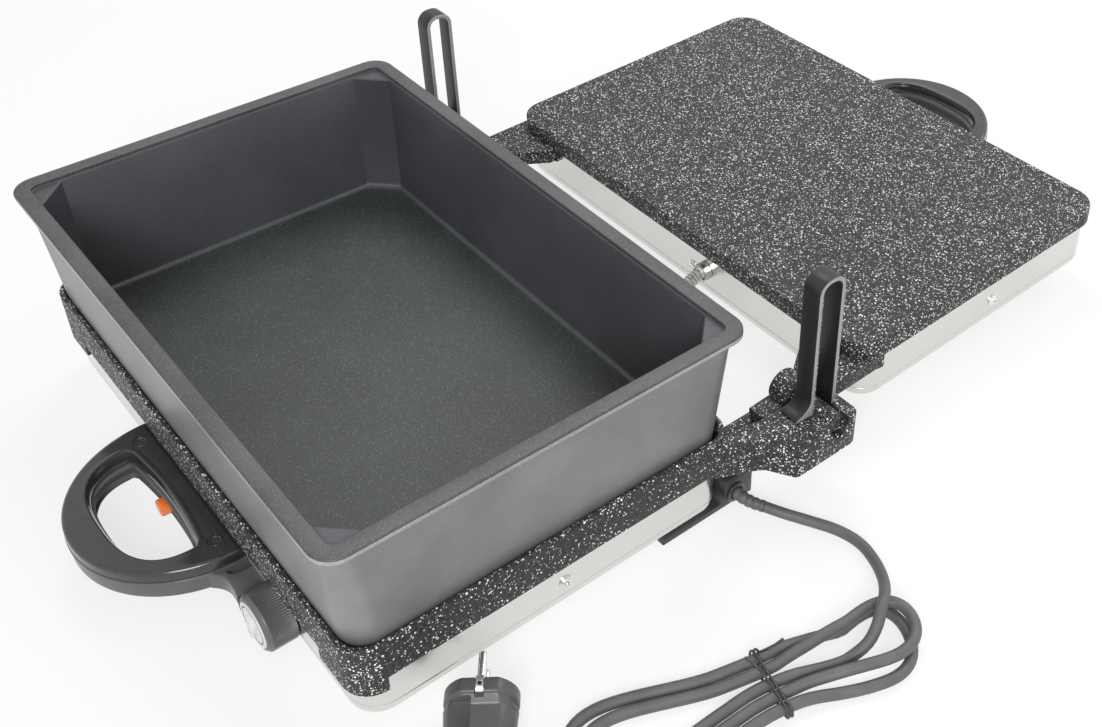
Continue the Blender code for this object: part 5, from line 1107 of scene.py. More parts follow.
@dataclass(frozen=True)
class Plug:
    """A moulded plug: a face with two flats, a stepped grip, two round pins and two earth springs."""

    place: Flat = (0.2347, -0.0768)
    angle: float = math.radians(142.0)
    tilt: float = math.radians(7.0)
    radius: float = 0.0206
    flat: float = 0.0181
    disc: float = 0.0090
    length: float = 0.0460
    edge: float = 0.0015
    slope: float = 0.0040
    grip_half: float = 0.0202
    grip_round: float = 0.0150
    grip_flat: float = 0.0125
    grip_length: float = 0.0220
    nose: float = 0.0058
    pin_radius: float = 0.0024
    pin_length: float = 0.0190
    pin_spacing: float = 0.0190

    def frame(self) -> Matrix:
        """Along the pins, across them and up, from the face's middle."""
        turn = Matrix.Rotation(self.angle, 4, "Z") @ Matrix.Rotation(-self.tilt, 4, "Y")
        height = self.flat * math.cos(self.tilt) + self.disc / 2 * math.sin(self.tilt)
        return Matrix.Translation(Vector((*self.place, height))) @ turn

    def back(self) -> tuple[Vector, Vector]:
        """Where the lead enters, and a point behind it."""
        nose = self.disc / 2 - self.length
        return self.frame() @ Vector((nose - CLEAR, 0, 0)), self.frame() @ Vector((nose - 0.0130, 0, 0))

    def build(self) -> list[Piece]:
        """Makes the plug's pieces.

        Returns:
            All of them, to go with the lead.
        """
        return [self._body(), *self._pins(), *self._springs()]

    @staticmethod
    def _loop(along: float, half_y: float, half_z: float, flat: float = math.inf) -> list[Vector]:
        """A ring across the plug, round but for its flats above and below."""
        flattened = [(half_y * x, min(max(half_z * y, -flat), flat)) for x, y in circle((0.0, 0.0), 1.0, 96)]
        return set_across(flattened, Axis.X, along)

    def _body(self) -> Piece:
        """The face, the stepped grip with its finger hollows, and the nose."""
        half = self.disc / 2
        wide, deep, flat, nose = self.grip_half, self.grip_round, self.grip_flat, self.nose
        edge = quarter_round(self.edge)
        rims = [(half - rise, inset) for inset, rise in edge]
        rims += [(-half + rise, inset) for inset, rise in reversed(edge)]
        rows = [(along, self.radius - inset, self.radius - inset, self.flat - inset) for along, inset in rims]
        front = -half - self.slope
        rear = front - self.grip_length
        end = half - self.length
        rows += [
            (front + 0.0006, wide + 0.0002, deep + 0.0008, flat + 0.0009),
            (front, wide, deep, flat + 0.0003),
            (front - 0.0008, wide, deep, flat),
            (rear, wide - self.edge, deep, flat),
            (rear - 0.0012, wide - self.edge - 0.0010, deep - 0.0006, flat - 0.0006),
            (rear - self.slope, flat, flat - self.edge),
            (rear - self.slope - 0.0030, nose + 0.0022, nose + 0.0020),
            (end + 0.0060, nose + 0.0004, nose + 0.0004),
            (end + 0.0008, nose, nose),
            (end, nose - 0.0008, nose - 0.0008),
        ]
        start = -half - 0.0007
        hollow = [(start, 0.0044), (start, 0.0150), (-half - 0.0030, 0.0168), (rear + 0.0035, 0.0162)]
        hollow += [(rear + 0.0010, 0.0140), (rear + 0.0010, 0.0060), (rear + 0.0030, 0.0044)]
        cuts = []
        for side in (1, -1):
            placed = [(x, side * y) for x, y in hollow]
            cuts.append(soften(prism(placed, Axis.Z, side * 0.0088, side * 0.0240), 0.0006, 2, 60.0))
            ends = (side * (self.flat - 0.0030), side * (self.flat + 0.004))
            cuts.append(block((-half - 0.004, -0.0024, ends[0]), (half + 0.004, 0.0024, ends[1])))
        shape = carve(loft([self._loop(*row) for row in rows]), cuts=cuts)
        return make_piece("plug_moulding", shape, PLUG_GREY, "base", ["plug_body"], self.frame())

    def _pins(self) -> list[Piece]:
        """Two round pins with domed ends."""
        pins = []
        start = self.disc / 2 + CLEAR
        tip = start + self.pin_length
        profile = [(self.pin_radius, start)]
        profile += [(self.pin_radius - inset, tip - rise) for inset, rise in reversed(quarter_round(0.0016))]
        for label, side in (("upper", 1), ("lower", -1)):
            shape = turned((0.0, side * self.pin_spacing / 2), Axis.X, profile, 36)
            name = f"round_pin_{label}"
            pins.append(make_piece(name, shape, SCREW_STEEL, "base", [f"plug_pin_{label}"], self.frame()))
        return pins

    def _springs(self) -> list[Piece]:
        """The bent earth springs in the slots of the two flats."""
        springs = []
        half = self.disc / 2
        path = [(-half + 0.0015, -0.0029), (-half + 0.0024, -0.0016), (-half + 0.0040, -0.0009)]
        path += [(half - 0.0012, -0.0007), (half + 0.0006, -0.0010), (half + 0.0019, -0.0022)]
        under = [(x, z - 0.0006) for x, z in reversed(path)]
        for label, side in (("left", 1), ("right", -1)):
            outline = [(x, side * (self.flat + z)) for x, z in [*path, *under]]
            groove = block((-half + 0.0045, -0.0011, -0.03), (half - 0.0022, 0.0011, 0.03))
            shape = carve(prism(outline, Axis.Y, -0.0021, 0.0021), cuts=[groove])
            name = f"earth_spring_{label}"
            springs.append(make_piece(name, shape, METAL, "base", [f"plug_earth_clip_{label}"], self.frame()))
        return springs


# Castings and shells


@dataclass(frozen=True)
class Screw:
    """A shell screw with a washer and a cross recess."""

    name: str
    place: Triple
    axis: Axis
    way: int
    body: str
    radius: float = 0.0036
    washer: float = 0.0044
    shank: float = 0.0017
    depth: float = 0.0080
    washer_top: float = 0.0006
    flat: float = 0.0006
    dome: float = 0.0015

    def build(self, turn: Optional[Matrix] = None) -> None:
        """Makes the screw in place of its node."""
        along = self.axis.value
        centre = (self.place[1 - along], self.place[2])
        face = self.place[along] + self.way * 0.0001
        steps = [(self.shank, -self.depth), (self.shank, 0.0), (self.washer, 0.0), (self.washer, 0.0004)]
        steps += [(self.washer - 0.0003, self.washer_top), (self.radius, self.washer_top)]
        reach, foot = self.radius - self.flat, self.washer_top + 0.0003
        for x, y in arc((0.0, 0.0), 1.0, 0.0, QUARTER, 6):
            steps.append((self.flat + reach * x, foot + self.dome * y))
        body = turned(centre, self.axis, [(radius, face + self.way * rise) for radius, rise in steps], 40)
        cuts = []
        for wide, high in ((0.00045, 0.0021), (0.0021, 0.00045)):
            recess = [(centre[0] + x * wide, centre[1] + y * high) for x, y in SQUARE]
            cuts.append(prism(recess, self.axis, face + self.way * 0.0012, face + self.way * 0.005))
        make_piece(f"{self.name}_bright", carve(body, cuts=cuts), SCREW_STEEL, self.body, [self.name], turn)


@dataclass(frozen=True)
class PressedShell:
    """A pressed sheet box, open at the top, with a fine bead near its floor."""

    name: str
    node: str
    body: str
    half: Flat
    bottom: float
    top: float
    middle_y: float = 0.0
    corner: float = 0.019
    foot_radius: float = 0.006
    sheet: float = 0.0010

    def build(self, turn: Optional[Matrix] = None) -> None:
        """Makes the shell in place of its node."""
        rows = [(inset, self.bottom + rise) for inset, rise in quarter_round(self.foot_radius, 8)]
        bead = self.bottom + self.foot_radius + 0.0022
        rows += [(0.0, bead), (0.00022, bead + 0.0003), (0.00022, bead + 0.0007), (0.0, bead + 0.0010)]
        rows += [(0.0, self.top), (self.sheet, self.top)]
        floor = self.bottom + self.sheet
        inner = reversed(quarter_round(self.foot_radius - self.sheet, 6))
        rows += [(self.sheet + inset, floor + rise) for inset, rise in inner]
        loops = [ring(self.half, self.corner, *row, self.middle_y, 20) for row in rows]
        make_piece(self.name, loft(loops), SHEET, self.body, [self.node], turn)


@dataclass(frozen=True)
class LowerCasting:
    """The speckled tray with the two ears that carry the hinge."""

    half: Flat = (0.205, 0.133)
    corner: float = 0.018
    top: float = 0.0682
    band_bottom: float = 0.0402
    under: float = 0.0436
    bed: float = 0.0486
    lip: float = 0.0035
    edge: float = 0.0012
    hinge: Flat = (0.191, 0.060)
    ear_top: float = 0.0640
    ear_bottom: float = 0.0375
    deep_band: float = 0.0095
    deep_reach: float = 0.024
    deep_run: float = 0.0010

    def build(self) -> None:
        """Makes the tray in place of its node."""
        adds, cuts = [], []
        for side in (1, -1):
            adds += [self._ear(side), self._ledge(side), self._deep_corner(side)]
            cuts += [self._pocket(side), self._notch(side)]
        shape = carve(self._tray(), adds, cuts)
        make_piece("speckled_tray", shape, STONE, "base", ["tray_plate"])

    def _tray(self) -> Shape:
        """The skirt, its rounded lips and the bed."""
        lip, bottom, top = self.lip, self.band_bottom, self.top
        rows = [(lip, self.under), (lip, bottom)]
        rows += [(inset, bottom + rise) for inset, rise in quarter_round(0.0006, 3)]
        rows += [(inset, top - rise) for inset, rise in reversed(quarter_round(self.edge, 4))]
        rows += [(lip - inset, top - rise) for inset, rise in quarter_round(self.edge * 0.8, 4)]
        rows += [(lip + 0.0004, self.bed + 0.0015), (lip + 0.0019, self.bed)]
        return loft([ring(self.half, self.corner, *row) for row in rows])

    def _ear(self, side: int) -> Shape:
        """The ear beside the tray's back corner."""
        centre = drawn_in(self.half, self.corner)
        radius = self.corner - self.lip / 2
        outline = [(centre[0] + radius, 0.1120), (0.2120, 0.1290), (0.2150, 0.1370), (0.2200, 0.1450)]
        outline += [(0.2370, 0.1552), (0.2380, 0.1580), (0.2380, 0.2030), (0.2368, 0.2068), (0.2330, 0.2080)]
        outline += [(0.2045, 0.2080), (0.2045, 0.1555), *arc(centre, radius, QUARTER / 2, 0.0, 6)]
        return soften(prism(mirrored(outline, side), Axis.Z, self.ear_bottom, self.ear_top), 0.0007)

    def _ledge(self, side: int) -> Shape:
        """The ledge below the lid arm's lug."""
        wall = self.half[1] - self.lip / 2
        outline = [(0.1810, wall), (0.1810, 0.1700), (0.2085, 0.1700), (0.2085, wall)]
        return prism(mirrored(outline, side), Axis.Z, self.ear_bottom + 0.001, 0.0462)

    def _deep_corner(self, side: int) -> Shape:
        """The deeper skirt round a front corner."""
        end_x = self.half[0] - self.corner - self.deep_reach
        band = corner_band(self.half, self.corner, self.lip, end_x, self.deep_run)
        flipped = [(side * x, -y) for x, y in band]
        return prism(flipped, Axis.Z, self.band_bottom - self.deep_band, self.band_bottom + self.lip)

    def _pocket(self, side: int) -> Shape:
        """The pocket that holds an upright."""
        middle, half = Vector((side * 0.2149, self.hinge[0])), Vector((0.00735, 0.01115))
        return block((*(middle - half), self.ear_top - 0.0083), (*(middle + half), self.ear_top + 0.004))

    def _notch(self, side: int) -> Shape:
        """The notch with a V below, in which the hinge pin's end rests."""
        y, z = self.hinge
        half, vee = 0.0076, 0.0035
        low, top = z - 0.0073, 0.068
        outline = [(y - half, top), (y - half, low + vee), (y, low - vee)]
        outline += [(y + half, low + vee), (y + half, top)]
        return prism(outline, Axis.X, side * 0.2005, side * 0.2420)


@dataclass(frozen=True)
class Upright:
    """A strip of steel bent into a narrow arch, in whose slot the hinge pin slides."""

    label: str
    side: int
    x: float = 0.2149
    width: float = 0.0143
    y: float = 0.191
    spread: float = 0.0219
    strip: float = 0.0030
    bend: float = 0.0095
    top: float = 0.1676
    seat: float = 0.0643
    tenon: float = 0.0560
    toe: float = 0.0122

    def build(self) -> None:
        """Makes the upright in place of its node."""
        front = self.y - self.spread / 2
        rear = self.y + self.spread / 2
        tip = front - self.toe
        outline = [(front, self.tenon), (front, self.seat)]
        outline += [(tip, self.seat), (tip + 0.0006, self.seat + 0.0016)]
        rise = 0.0030
        for i in range(9):
            share = i / 8
            height = self.seat + rise + (self.toe - rise) * share**1.6
            outline.append((front - self.toe * 0.78 * (1 - share) ** 1.6, height))
        outline += [*self._arch(self.bend), (rear, self.tenon), (rear - self.strip, self.tenon)]
        outline += [*reversed(self._arch(self.bend - self.strip)), (front + self.strip, self.tenon)]
        middle = self.side * self.x
        sides = (middle - self.width / 2, middle + self.width / 2)
        shape = soften(prism(outline, Axis.X, *sides), 0.0005, 2, 50.0)
        # Side faces across X get the lighter grey finish; the broad faces stay black.
        for face in shape.faces:
            face.material_index = 1 if abs(face.normal.x) > 0.6 else 0
        name = f"slotted_upright_{self.label}"
        make_piece(name, shape, [STRIP, STRIP_EDGE], "base", [f"upright_{self.label}"])

    def _arch(self, radius: float) -> list[Flat]:
        """The arch's top, from the front leg over to the rear one."""
        offset = self.spread / 2 - self.bend
        height = self.top - self.bend
        points = arc((self.y - offset, height), radius, math.pi, QUARTER, 10)
        return points + arc((self.y + offset, height), radius, QUARTER, 0.0, 10)


@dataclass(frozen=True)
class DeepPan:
    """The loose deep pan, with a grained rim and chamfered corners inside."""

    half: Flat = (0.210, 0.139)
    rim_top: float = 0.1493
    rim_thick: float = 0.0042
    rim_width: float = 0.0105
    bottom: float = 0.0489
    wall: float = 0.0025
    under_rim: float = 0.0048
    taper: float = 0.0062
    rim_corner: float = 0.015
    bottom_corner: float = 0.019
    chamfer: float = 0.019

    def build(self) -> None:
        """Makes the pan in place of its node, from its outside over the rim to its floor."""
        bed, side, rim, out, edge = range(5)
        finishes = [PAN_FLOOR, PAN_WALL, PAN_RIM, PAN_OUTSIDE, PAN_PAINTED_HIGHLIGHT]
        deep = self.under_rim + self.taper
        under = self.rim_top - self.rim_thick
        corner, mouth, top = self.rim_corner, self.rim_width, self.rim_top
        base = quarter_round(0.004)
        rows = [(deep + inset, self.bottom + rise, self.bottom_corner - inset, out) for inset, rise in base]
        rows += [(self.under_rim, under, corner, out), (0.0006, under, corner, rim)]
        # The rim's lower outer edge takes the painted highlight, a much lighter tone than the rim itself.
        rows += [(inset, under + rise, corner, edge) for inset, rise in quarter_round(0.0006, 3)]
        outer = reversed(quarter_round(0.0012, 4))
        rows += [(inset, top - rise, corner - inset, rim) for inset, rise in outer]
        rows += [(mouth - inset, top - rise, 0.0055, rim) for inset, rise in quarter_round(0.0009, 4)]
        ledge = top - 0.0030
        rows += [(mouth, ledge + 0.0006, 0.005, side), (mouth + 0.0005, ledge, 0.005, side)]
        well = [(mouth + 0.0006, ledge), (mouth + 0.0012, ledge - 0.0010)]
        inner, floor = deep + self.wall, self.bottom + self.wall
        well += [(inner + inset, floor + rise) for inset, rise in reversed(quarter_round(0.0040, 5))]
        loops, bands = [], []
        for inset, height, radius, slot in rows:
            loops.append(level(corner_outline(drawn_in(self.half, inset), radius), height))
            bands.append(slot)
        for inset, height in well:
            outline = corner_outline(drawn_in(self.half, inset), self.chamfer, Corner.CHAMFERED)
            loops.append(level(outline, height))
        bands += [side] * (len(well) - 2) + [bed, bed]
        make_piece("cooking_pan", loft(loops, bands=bands), finishes, "pan", ["deep_pan"])


# Handles, knob and lamp


@dataclass(frozen=True)
class Handle:
    """A D handle of two black mouldings with round screw caps."""

    prefix: str
    body: str
    edge_y: float
    root: float
    way: int
    top: float
    half: float = 0.0696
    reach: float = 0.0746
    hole_half: float = 0.0490
    hole_start: float = 0.0158
    hole_reach: float = 0.0542
    cover: float = 0.0080
    base: float = 0.0138
    edge: float = 0.0026
    arch_power: float = 0.99
    hole_power: float = 0.76
    bow: float = 0.0021
    screw_x: float = 0.0535
    screw_out: float = 0.0081

    def _arch(self, half: float, start: float, reach: float, power: float, steps: int = 72) -> list[Flat]:
        """A D outline: straight on the grill's side, then an arch out to its reach."""
        points = []
        for i in range(steps + 1):
            angle = math.pi * i / steps
            x = half * math.copysign(abs(math.cos(angle)) ** power, math.cos(angle))
            points.append((x, start + (reach - start) * math.sin(angle) ** power))
        return points

    def _outer(self) -> list[Flat]:
        """The outer outline with the root below the casting's skirt."""
        root = [(self.half * (i - 7) / 7, self.root) for i in range(15)]
        return [*self._arch(self.half, 0.0, self.reach, self.arch_power)[1:-1], *root]
    def _hole(self) -> list[Flat]:
        """The finger hole's outline, with round corners and a bowed edge on the grill's side."""
        arch = self._arch(self.hole_half, self.hole_start + self.bow * 1.6, self.hole_reach, self.hole_power)
        width = self.hole_half - 0.0026
        low = self.hole_start - self.bow
        shares = [(i - 6) / 6 for i in range(13)]
        return [*arch, *[(width * share, low + 1.7 * self.bow * share**2) for share in shares]]

    def _skin(self, rows: Sequence[tuple[Sequence[Flat], float, float]]) -> Shape:
        """Skins outlines, each moved in by an amount and laid at a height, round the finger hole."""
        loops = []
        for outline, amount, height in rows:
            placed = [(x, self.edge_y + self.way * out) for x, out in moved_in(outline, amount)]
            loops.append(level(placed, height))
        return loft(loops, cyclic=True)

    def build(
        self,
        turn: Optional[Matrix] = None,
        adds: Sequence[Shape] = (),
        cuts: Sequence[Shape] = (),
    ) -> None:
        """Makes both mouldings and the screw caps.

        Args:
            turn: The tilt of the lid.
            adds: Shapes joined on to the lower moulding.
            cuts: Shapes cut from the lower moulding.
        """
        outer, hole = self._outer(), self._hole()
        top, seam = self.top, self.top - self.cover
        inside = 0.0004
        rim = quarter_round(0.0012, 5)
        rows = [(outer, 0.0009, seam), (outer, inside, seam + 0.0006)]
        rows += [(outer, inside + inset, top - rise) for inset, rise in reversed(quarter_round(self.edge, 6))]
        rows += [(outer, inside + self.edge + 0.0004, top)]
        rows += [(hole, -0.0056, top), (hole, -0.0052, top), (hole, -0.0044, top + 0.0002)]
        rows += [(hole, -0.0014 - inset, top + 0.0003 - rise * 0.8) for inset, rise in rim]
        rows += [(hole, -0.0006, top - 0.0022), (hole, -0.0002, top - 0.0030), (hole, 0.0, seam)]
        outlines = [circle(self._cap_centre(side), 0.0048, 32) for side in (1, -1)]
        pockets = [prism(outline, Axis.Z, top - 0.0034, top + 0.004) for outline in outlines]
        cover = carve(self._skin(rows), cuts=pockets)
        base = self._base(outer, hole, seam - CLEAR)
        base = carve(base, adds, cuts) if adds or cuts else base
        # The lower moulding's mid grey is a painted reflection of the pale surround, not its own colour.
        for part, shape, finish in (("cover", cover, GLOSSY), ("base", base, SIDE_PAINTED_REFLECTION)):
            node = f"{self.prefix}_handle_{part}"
            make_piece(f"{self.prefix}_grip_{part}", shape, finish, self.body, [node], turn)
        for label, side in SIDES:
            self._cap(label, side, turn)

    def _base(self, outer: Sequence[Flat], hole: Sequence[Flat], top: float) -> Shape:
        """The lower moulding, with a lip at the seam that catches the light."""
        bottom = top - self.base
        edge = quarter_round(self.edge, 5)
        bead = quarter_round(0.0005, 2)[::-1]
        rows = [(outer, inset, top - rise) for inset, rise in quarter_round(0.0007, 3)]
        rows += [(outer, 0.0001, top - 0.0022), (outer, 0.0007, top - 0.0027)]
        rows += [(outer, 0.0008 + inset, bottom + rise) for inset, rise in reversed(edge)]
        rows += [(hole, inset - self.edge - 0.0002, bottom + rise) for inset, rise in edge]
        rows += [(hole, -0.0002, top - 0.0052)]
        rows += [(hole, 0.0005 - inset, top - 0.0042 - rise) for inset, rise in bead]
        rows += [(hole, 0.0006, top - 0.0008)]
        rows += [(hole, 0.0015 - inset, top - rise) for inset, rise in bead]
        return self._skin(rows)

    def _cap_centre(self, side: int) -> Flat:
        """Where a cap's middle lies."""
        return side * self.screw_x, self.edge_y + self.way * self.screw_out

    def _cap(self, label: str, side: int, turn: Optional[Matrix]) -> None:
        """A round cap in its pocket, with a shallow dish and a fine step."""
        steps = ((0.0016, 0.0165), (0.0016, 0.0030), (0.0045, 0.0030), (0.0045, 0.0004))
        steps += ((0.0042, 0.0), (0.0036, 0.0), (0.0033, 0.0005), (0.0015, 0.0006))
        profile = [(radius, self.top - 0.0001 - depth) for radius, depth in steps]
        shape = turned(self._cap_centre(side), Axis.Z, profile, 40)
        name = f"{self.prefix}_handle_screw_{label}"
        make_piece(f"{name}_cap", shape, DARK_CAP, self.body, [name], turn)


@dataclass(frozen=True)
class Knob:
    """The thermostat knob: a ribbed barrel, a bevelled ring and a dial plate with plain marks."""

    x: float = 0.1112
    z: float = 0.0212
    back: float = -0.1296
    depth: float = 0.0188
    radius: float = 0.0186
    bevel: float = 0.0024
    rib_depth: float = 0.0008
    ribs: int = 70
    dial: float = 0.0150
    bore: float = 0.0035

    def build(self) -> None:
        """Makes the knob and its dial plate in place of their nodes."""
        self._barrel()
        self._dial()

    def _ring(self, radius: float, along: float, share: float = 0.0) -> list[Vector]:
        """A ring of the barrel. The share says how deep its ribs are cut."""
        points = []
        steps = self.ribs * 8
        for i in range(steps):
            angle = 2 * math.pi * i / steps
            plain = abs(math.degrees(angle) % 180.0 - 130.0) < 29.0
            wave = 0.5 - 0.5 * math.cos(self.ribs * angle)
            reach = radius if plain else radius - self.rib_depth * share * wave**0.7
            points.append((self.x + reach * math.cos(angle), self.z + reach * math.sin(angle)))
        return set_across(points, Axis.Y, along)

    def _barrel(self) -> None:
        """The barrel, ribbed in two wide groups between plain places."""
        back, front = self.back, self.back - self.depth
        wide, shoulder, ribbed = self.radius, self.radius - self.bevel, front + self.bevel
        rows = [
            (self.dial + 0.0003, front + 0.0012),
            (self.dial + 0.0003, front + 0.0002),
            (self.dial + 0.0007, front),
            (shoulder, front),
            (shoulder + 0.0003, front + 0.0001),
            (wide - 0.0002, ribbed - 0.0003),
            (wide, ribbed + 0.0002),
            (wide, ribbed + 0.0009),
            (wide, ribbed + 0.0014, 1.0),
            (wide, back - 0.0008, 1.0),
            (wide - 0.0003, back - 0.0004),
            (wide - 0.0008, back),
            (self.bore, back),
            (self.bore, back - 0.0100),
        ]
        shape = loft([self._ring(*row) for row in rows])
        make_piece("ribbed_knob", shape, KNOB_GREY, "knob", ["thermostat_knob"], angle=50.0)

    def _turned_by(self, shape: Shape, degrees: float) -> Shape:
        """Sets a shape on the dial, turned about the knob's axis."""
        middle = Matrix.Translation(Vector((self.x, 0.0, self.z)))
        shape.transform(middle @ Matrix.Rotation(math.radians(degrees), 4, "Y"))
        return shape

    def _dial(self) -> None:
        """The bright plate, with short marks round it and a raised bar to grip."""
        edge, back = self.dial, self.back - self.depth + 0.0009
        face = back - 0.0015
        profile = [(edge, back), (edge, face + 0.0003), (edge - 0.0003, face), (edge - 0.0026, face)]
        profile += [(edge - 0.0028, face + 0.0002), (edge - 0.0032, face + 0.0002), (edge - 0.0034, face)]
        profile += [(0.0012, face)]
        plate = turned((self.x, self.z), Axis.Y, profile, 72, bands=[0, 0, 0, 1, 1, 1, 0])
        cuts = []
        for i in range(11):
            mark = block((-0.00018, face - 0.001, edge - 0.0024), (0.00018, face + 0.0002, edge - 0.0006))
            cuts.append(self._turned_by(mark, -120.0 + 24.0 * i))
        bar = block((-0.0031, face - 0.0021, -0.0098), (0.0031, face + 0.0006, 0.0098))
        bar = self._turned_by(soften(bar, 0.0009, 3, 50.0), 14.0)
        make_piece("dial_plate", carve(plate, [bar], cuts), [DIAL, GROOVE], "knob", ["knob_face_disc"])


@dataclass(frozen=True)
class PilotLamp:
    """The small orange lens in the finger hole's wall."""

    x: float = -0.0112
    half: float = 0.0042
    wall_y: float = -0.1488
    proud: float = 0.0030
    seat: float = 0.0040
    bottom: float = 0.0132
    height: float = 0.0080

    def build(self) -> None:
        """Makes the lens in place of its node, with fine ribs on its face."""
        front, seat = self.wall_y - self.proud, self.wall_y + self.seat
        left, right, edge = self.x - self.half, self.x + self.half, 0.0010
        outline = [(left, seat), (left, front + edge), (left + edge, front)]
        ribs = 5
        width = (2 * self.half - 2 * edge) / ribs
        for i in range(ribs):
            start = left + edge + i * width
            outline += [(start + width * 0.25, front - 0.0002), (start + width * 0.75, front - 0.0002)]
            outline += [(start + width, front)]
        outline += [(right, front + edge), (right, seat)]
        shape = soften(prism(outline, Axis.Z, self.bottom, self.bottom + self.height), 0.0004)
        make_piece("pilot_lens", shape, LENS, "base", ["lamp_lens"])


@dataclass(frozen=True)
class FrontFurniture:
    """The front handle with the bridge that runs to the knob, the knob and the lamp."""

    edge_y: float = -0.133
    root: float = -0.0035
    top: float = 0.0368

    def build(self) -> None:
        """Makes all the front's black parts."""
        handle = Handle("front", "base", self.edge_y, self.root, -1, self.top)
        seam = self.top - handle.cover - CLEAR
        lamp = block((-0.0157, -0.1522, 0.0129), (-0.0067, -0.1445, 0.0215))
        recess = [(0.0706, -0.0020), (0.0706, 0.0116), (0.0736, 0.0113), (0.0762, 0.0092), (0.0770, 0.0060)]
        recess += [(0.0772, -0.0020)]
        room = prism(circle((0.1112, 0.0212), 0.0194, 72), Axis.Y, -0.1530, -0.1200)
        cuts = [lamp, prism(self._placed(recess), Axis.Z, seam - 0.0042, seam + 0.004), room]
        handle.build(adds=[self._arm(seam)], cuts=cuts)
        Knob().build()
        PilotLamp().build()

    def _placed(self, outline: Sequence[Flat]) -> list[Flat]:
        """Sets an outline that is measured outwards from the tray's front edge."""
        return [(x, self.edge_y - out) for x, out in outline]

    def _arm(self, seam: float) -> Shape:
        """The arm that sweeps from the handle's base to the knob's left."""
        root = self.root + 0.001
        outline = [(0.0520, root), (0.0520, 0.0205), (0.0655, 0.0212)]
        for i in range(13):
            share = i / 12
            outline.append((0.0668 + 0.0140 * share, 0.0138 + 0.0070 * (1 - share) ** 2.2))
        outline += [(0.0870, 0.0141), (0.0915, 0.0150), (0.0936, 0.0156), (0.0936, root)]
        return soften(prism(self._placed(outline), Axis.Z, seam - 0.0128, seam - CLEAR), 0.0009, 3, 50.0)


# Feet and cable box


@dataclass(frozen=True)
class RearSupport:
    """The cable box that is also the right rear foot, its cover and gland, and the left rear foot."""

    shell_y: float = 0.1292
    back_y: float = 0.1525
    inner_x: float = 0.1412
    outer_x: float = 0.2012
    height: float = 0.0200
    toe_y: float = 0.0780
    gland: Flat = (0.1380, 0.0085)

    def build(self) -> None:
        """Makes the black mouldings at the back."""
        outline = self._side()
        rear, top, skin = self.shell_y + CLEAR, self.height, 0.002
        low = (self.inner_x + skin, rear + skin, skin)
        hollow = block(low, (self.outer_x - skin, self.back_y - skin, top + 0.004))
        gland = prism(circle(self.gland, 0.0063), Axis.X, self.outer_x - 0.006, self.outer_x + 0.004)
        box = carve(soften(prism(outline, Axis.X, self.inner_x, self.outer_x), 0.0006), cuts=[hollow, gland])
        make_piece("cable_box_moulding", box, SATIN, "base", ["cable_box"])
        lid = block((self.inner_x, rear, top + CLEAR), (self.outer_x, self.back_y, top + 0.0019))
        make_piece("cable_box_lid", soften(lid, 0.0005), SATIN, "base", ["cable_box_cover"])
        left = soften(prism(outline, Axis.X, -self.outer_x, -self.outer_x + 0.030), 0.0006)
        make_piece("left_rear_foot", left, SATIN, "base", ["rear_foot_left"])
        steps = ((0.0048, -0.002), (0.0060, -0.002), (0.0060, 0.0), (0.0072, 0.0), (0.0074, 0.0003))
        steps += ((0.0074, 0.0008), (0.0069, 0.0013), (0.0062, 0.0016), (0.0050, 0.0016), (0.0048, 0.0012))
        profile = [(radius, self.outer_x + CLEAR + out) for radius, out in steps]
        collar = turned(self.gland, Axis.X, profile, cyclic=True)
        make_piece("gland_ring", collar, GLOSSY, "base", ["cable_gland"])

    def _side(self) -> list[Flat]:
        """The support's side view, cradling the shell's rear edge."""
        cradle = arc((self.shell_y - 0.006, 0.011), 0.0063, 0.0, -QUARTER, 10)
        outline = [(self.toe_y, 0.0), (self.back_y, 0.0), (self.back_y, self.height)]
        return [*outline, (self.shell_y + CLEAR, self.height), *cradle, (self.toe_y + 0.0015, 0.0047)]


# Lid


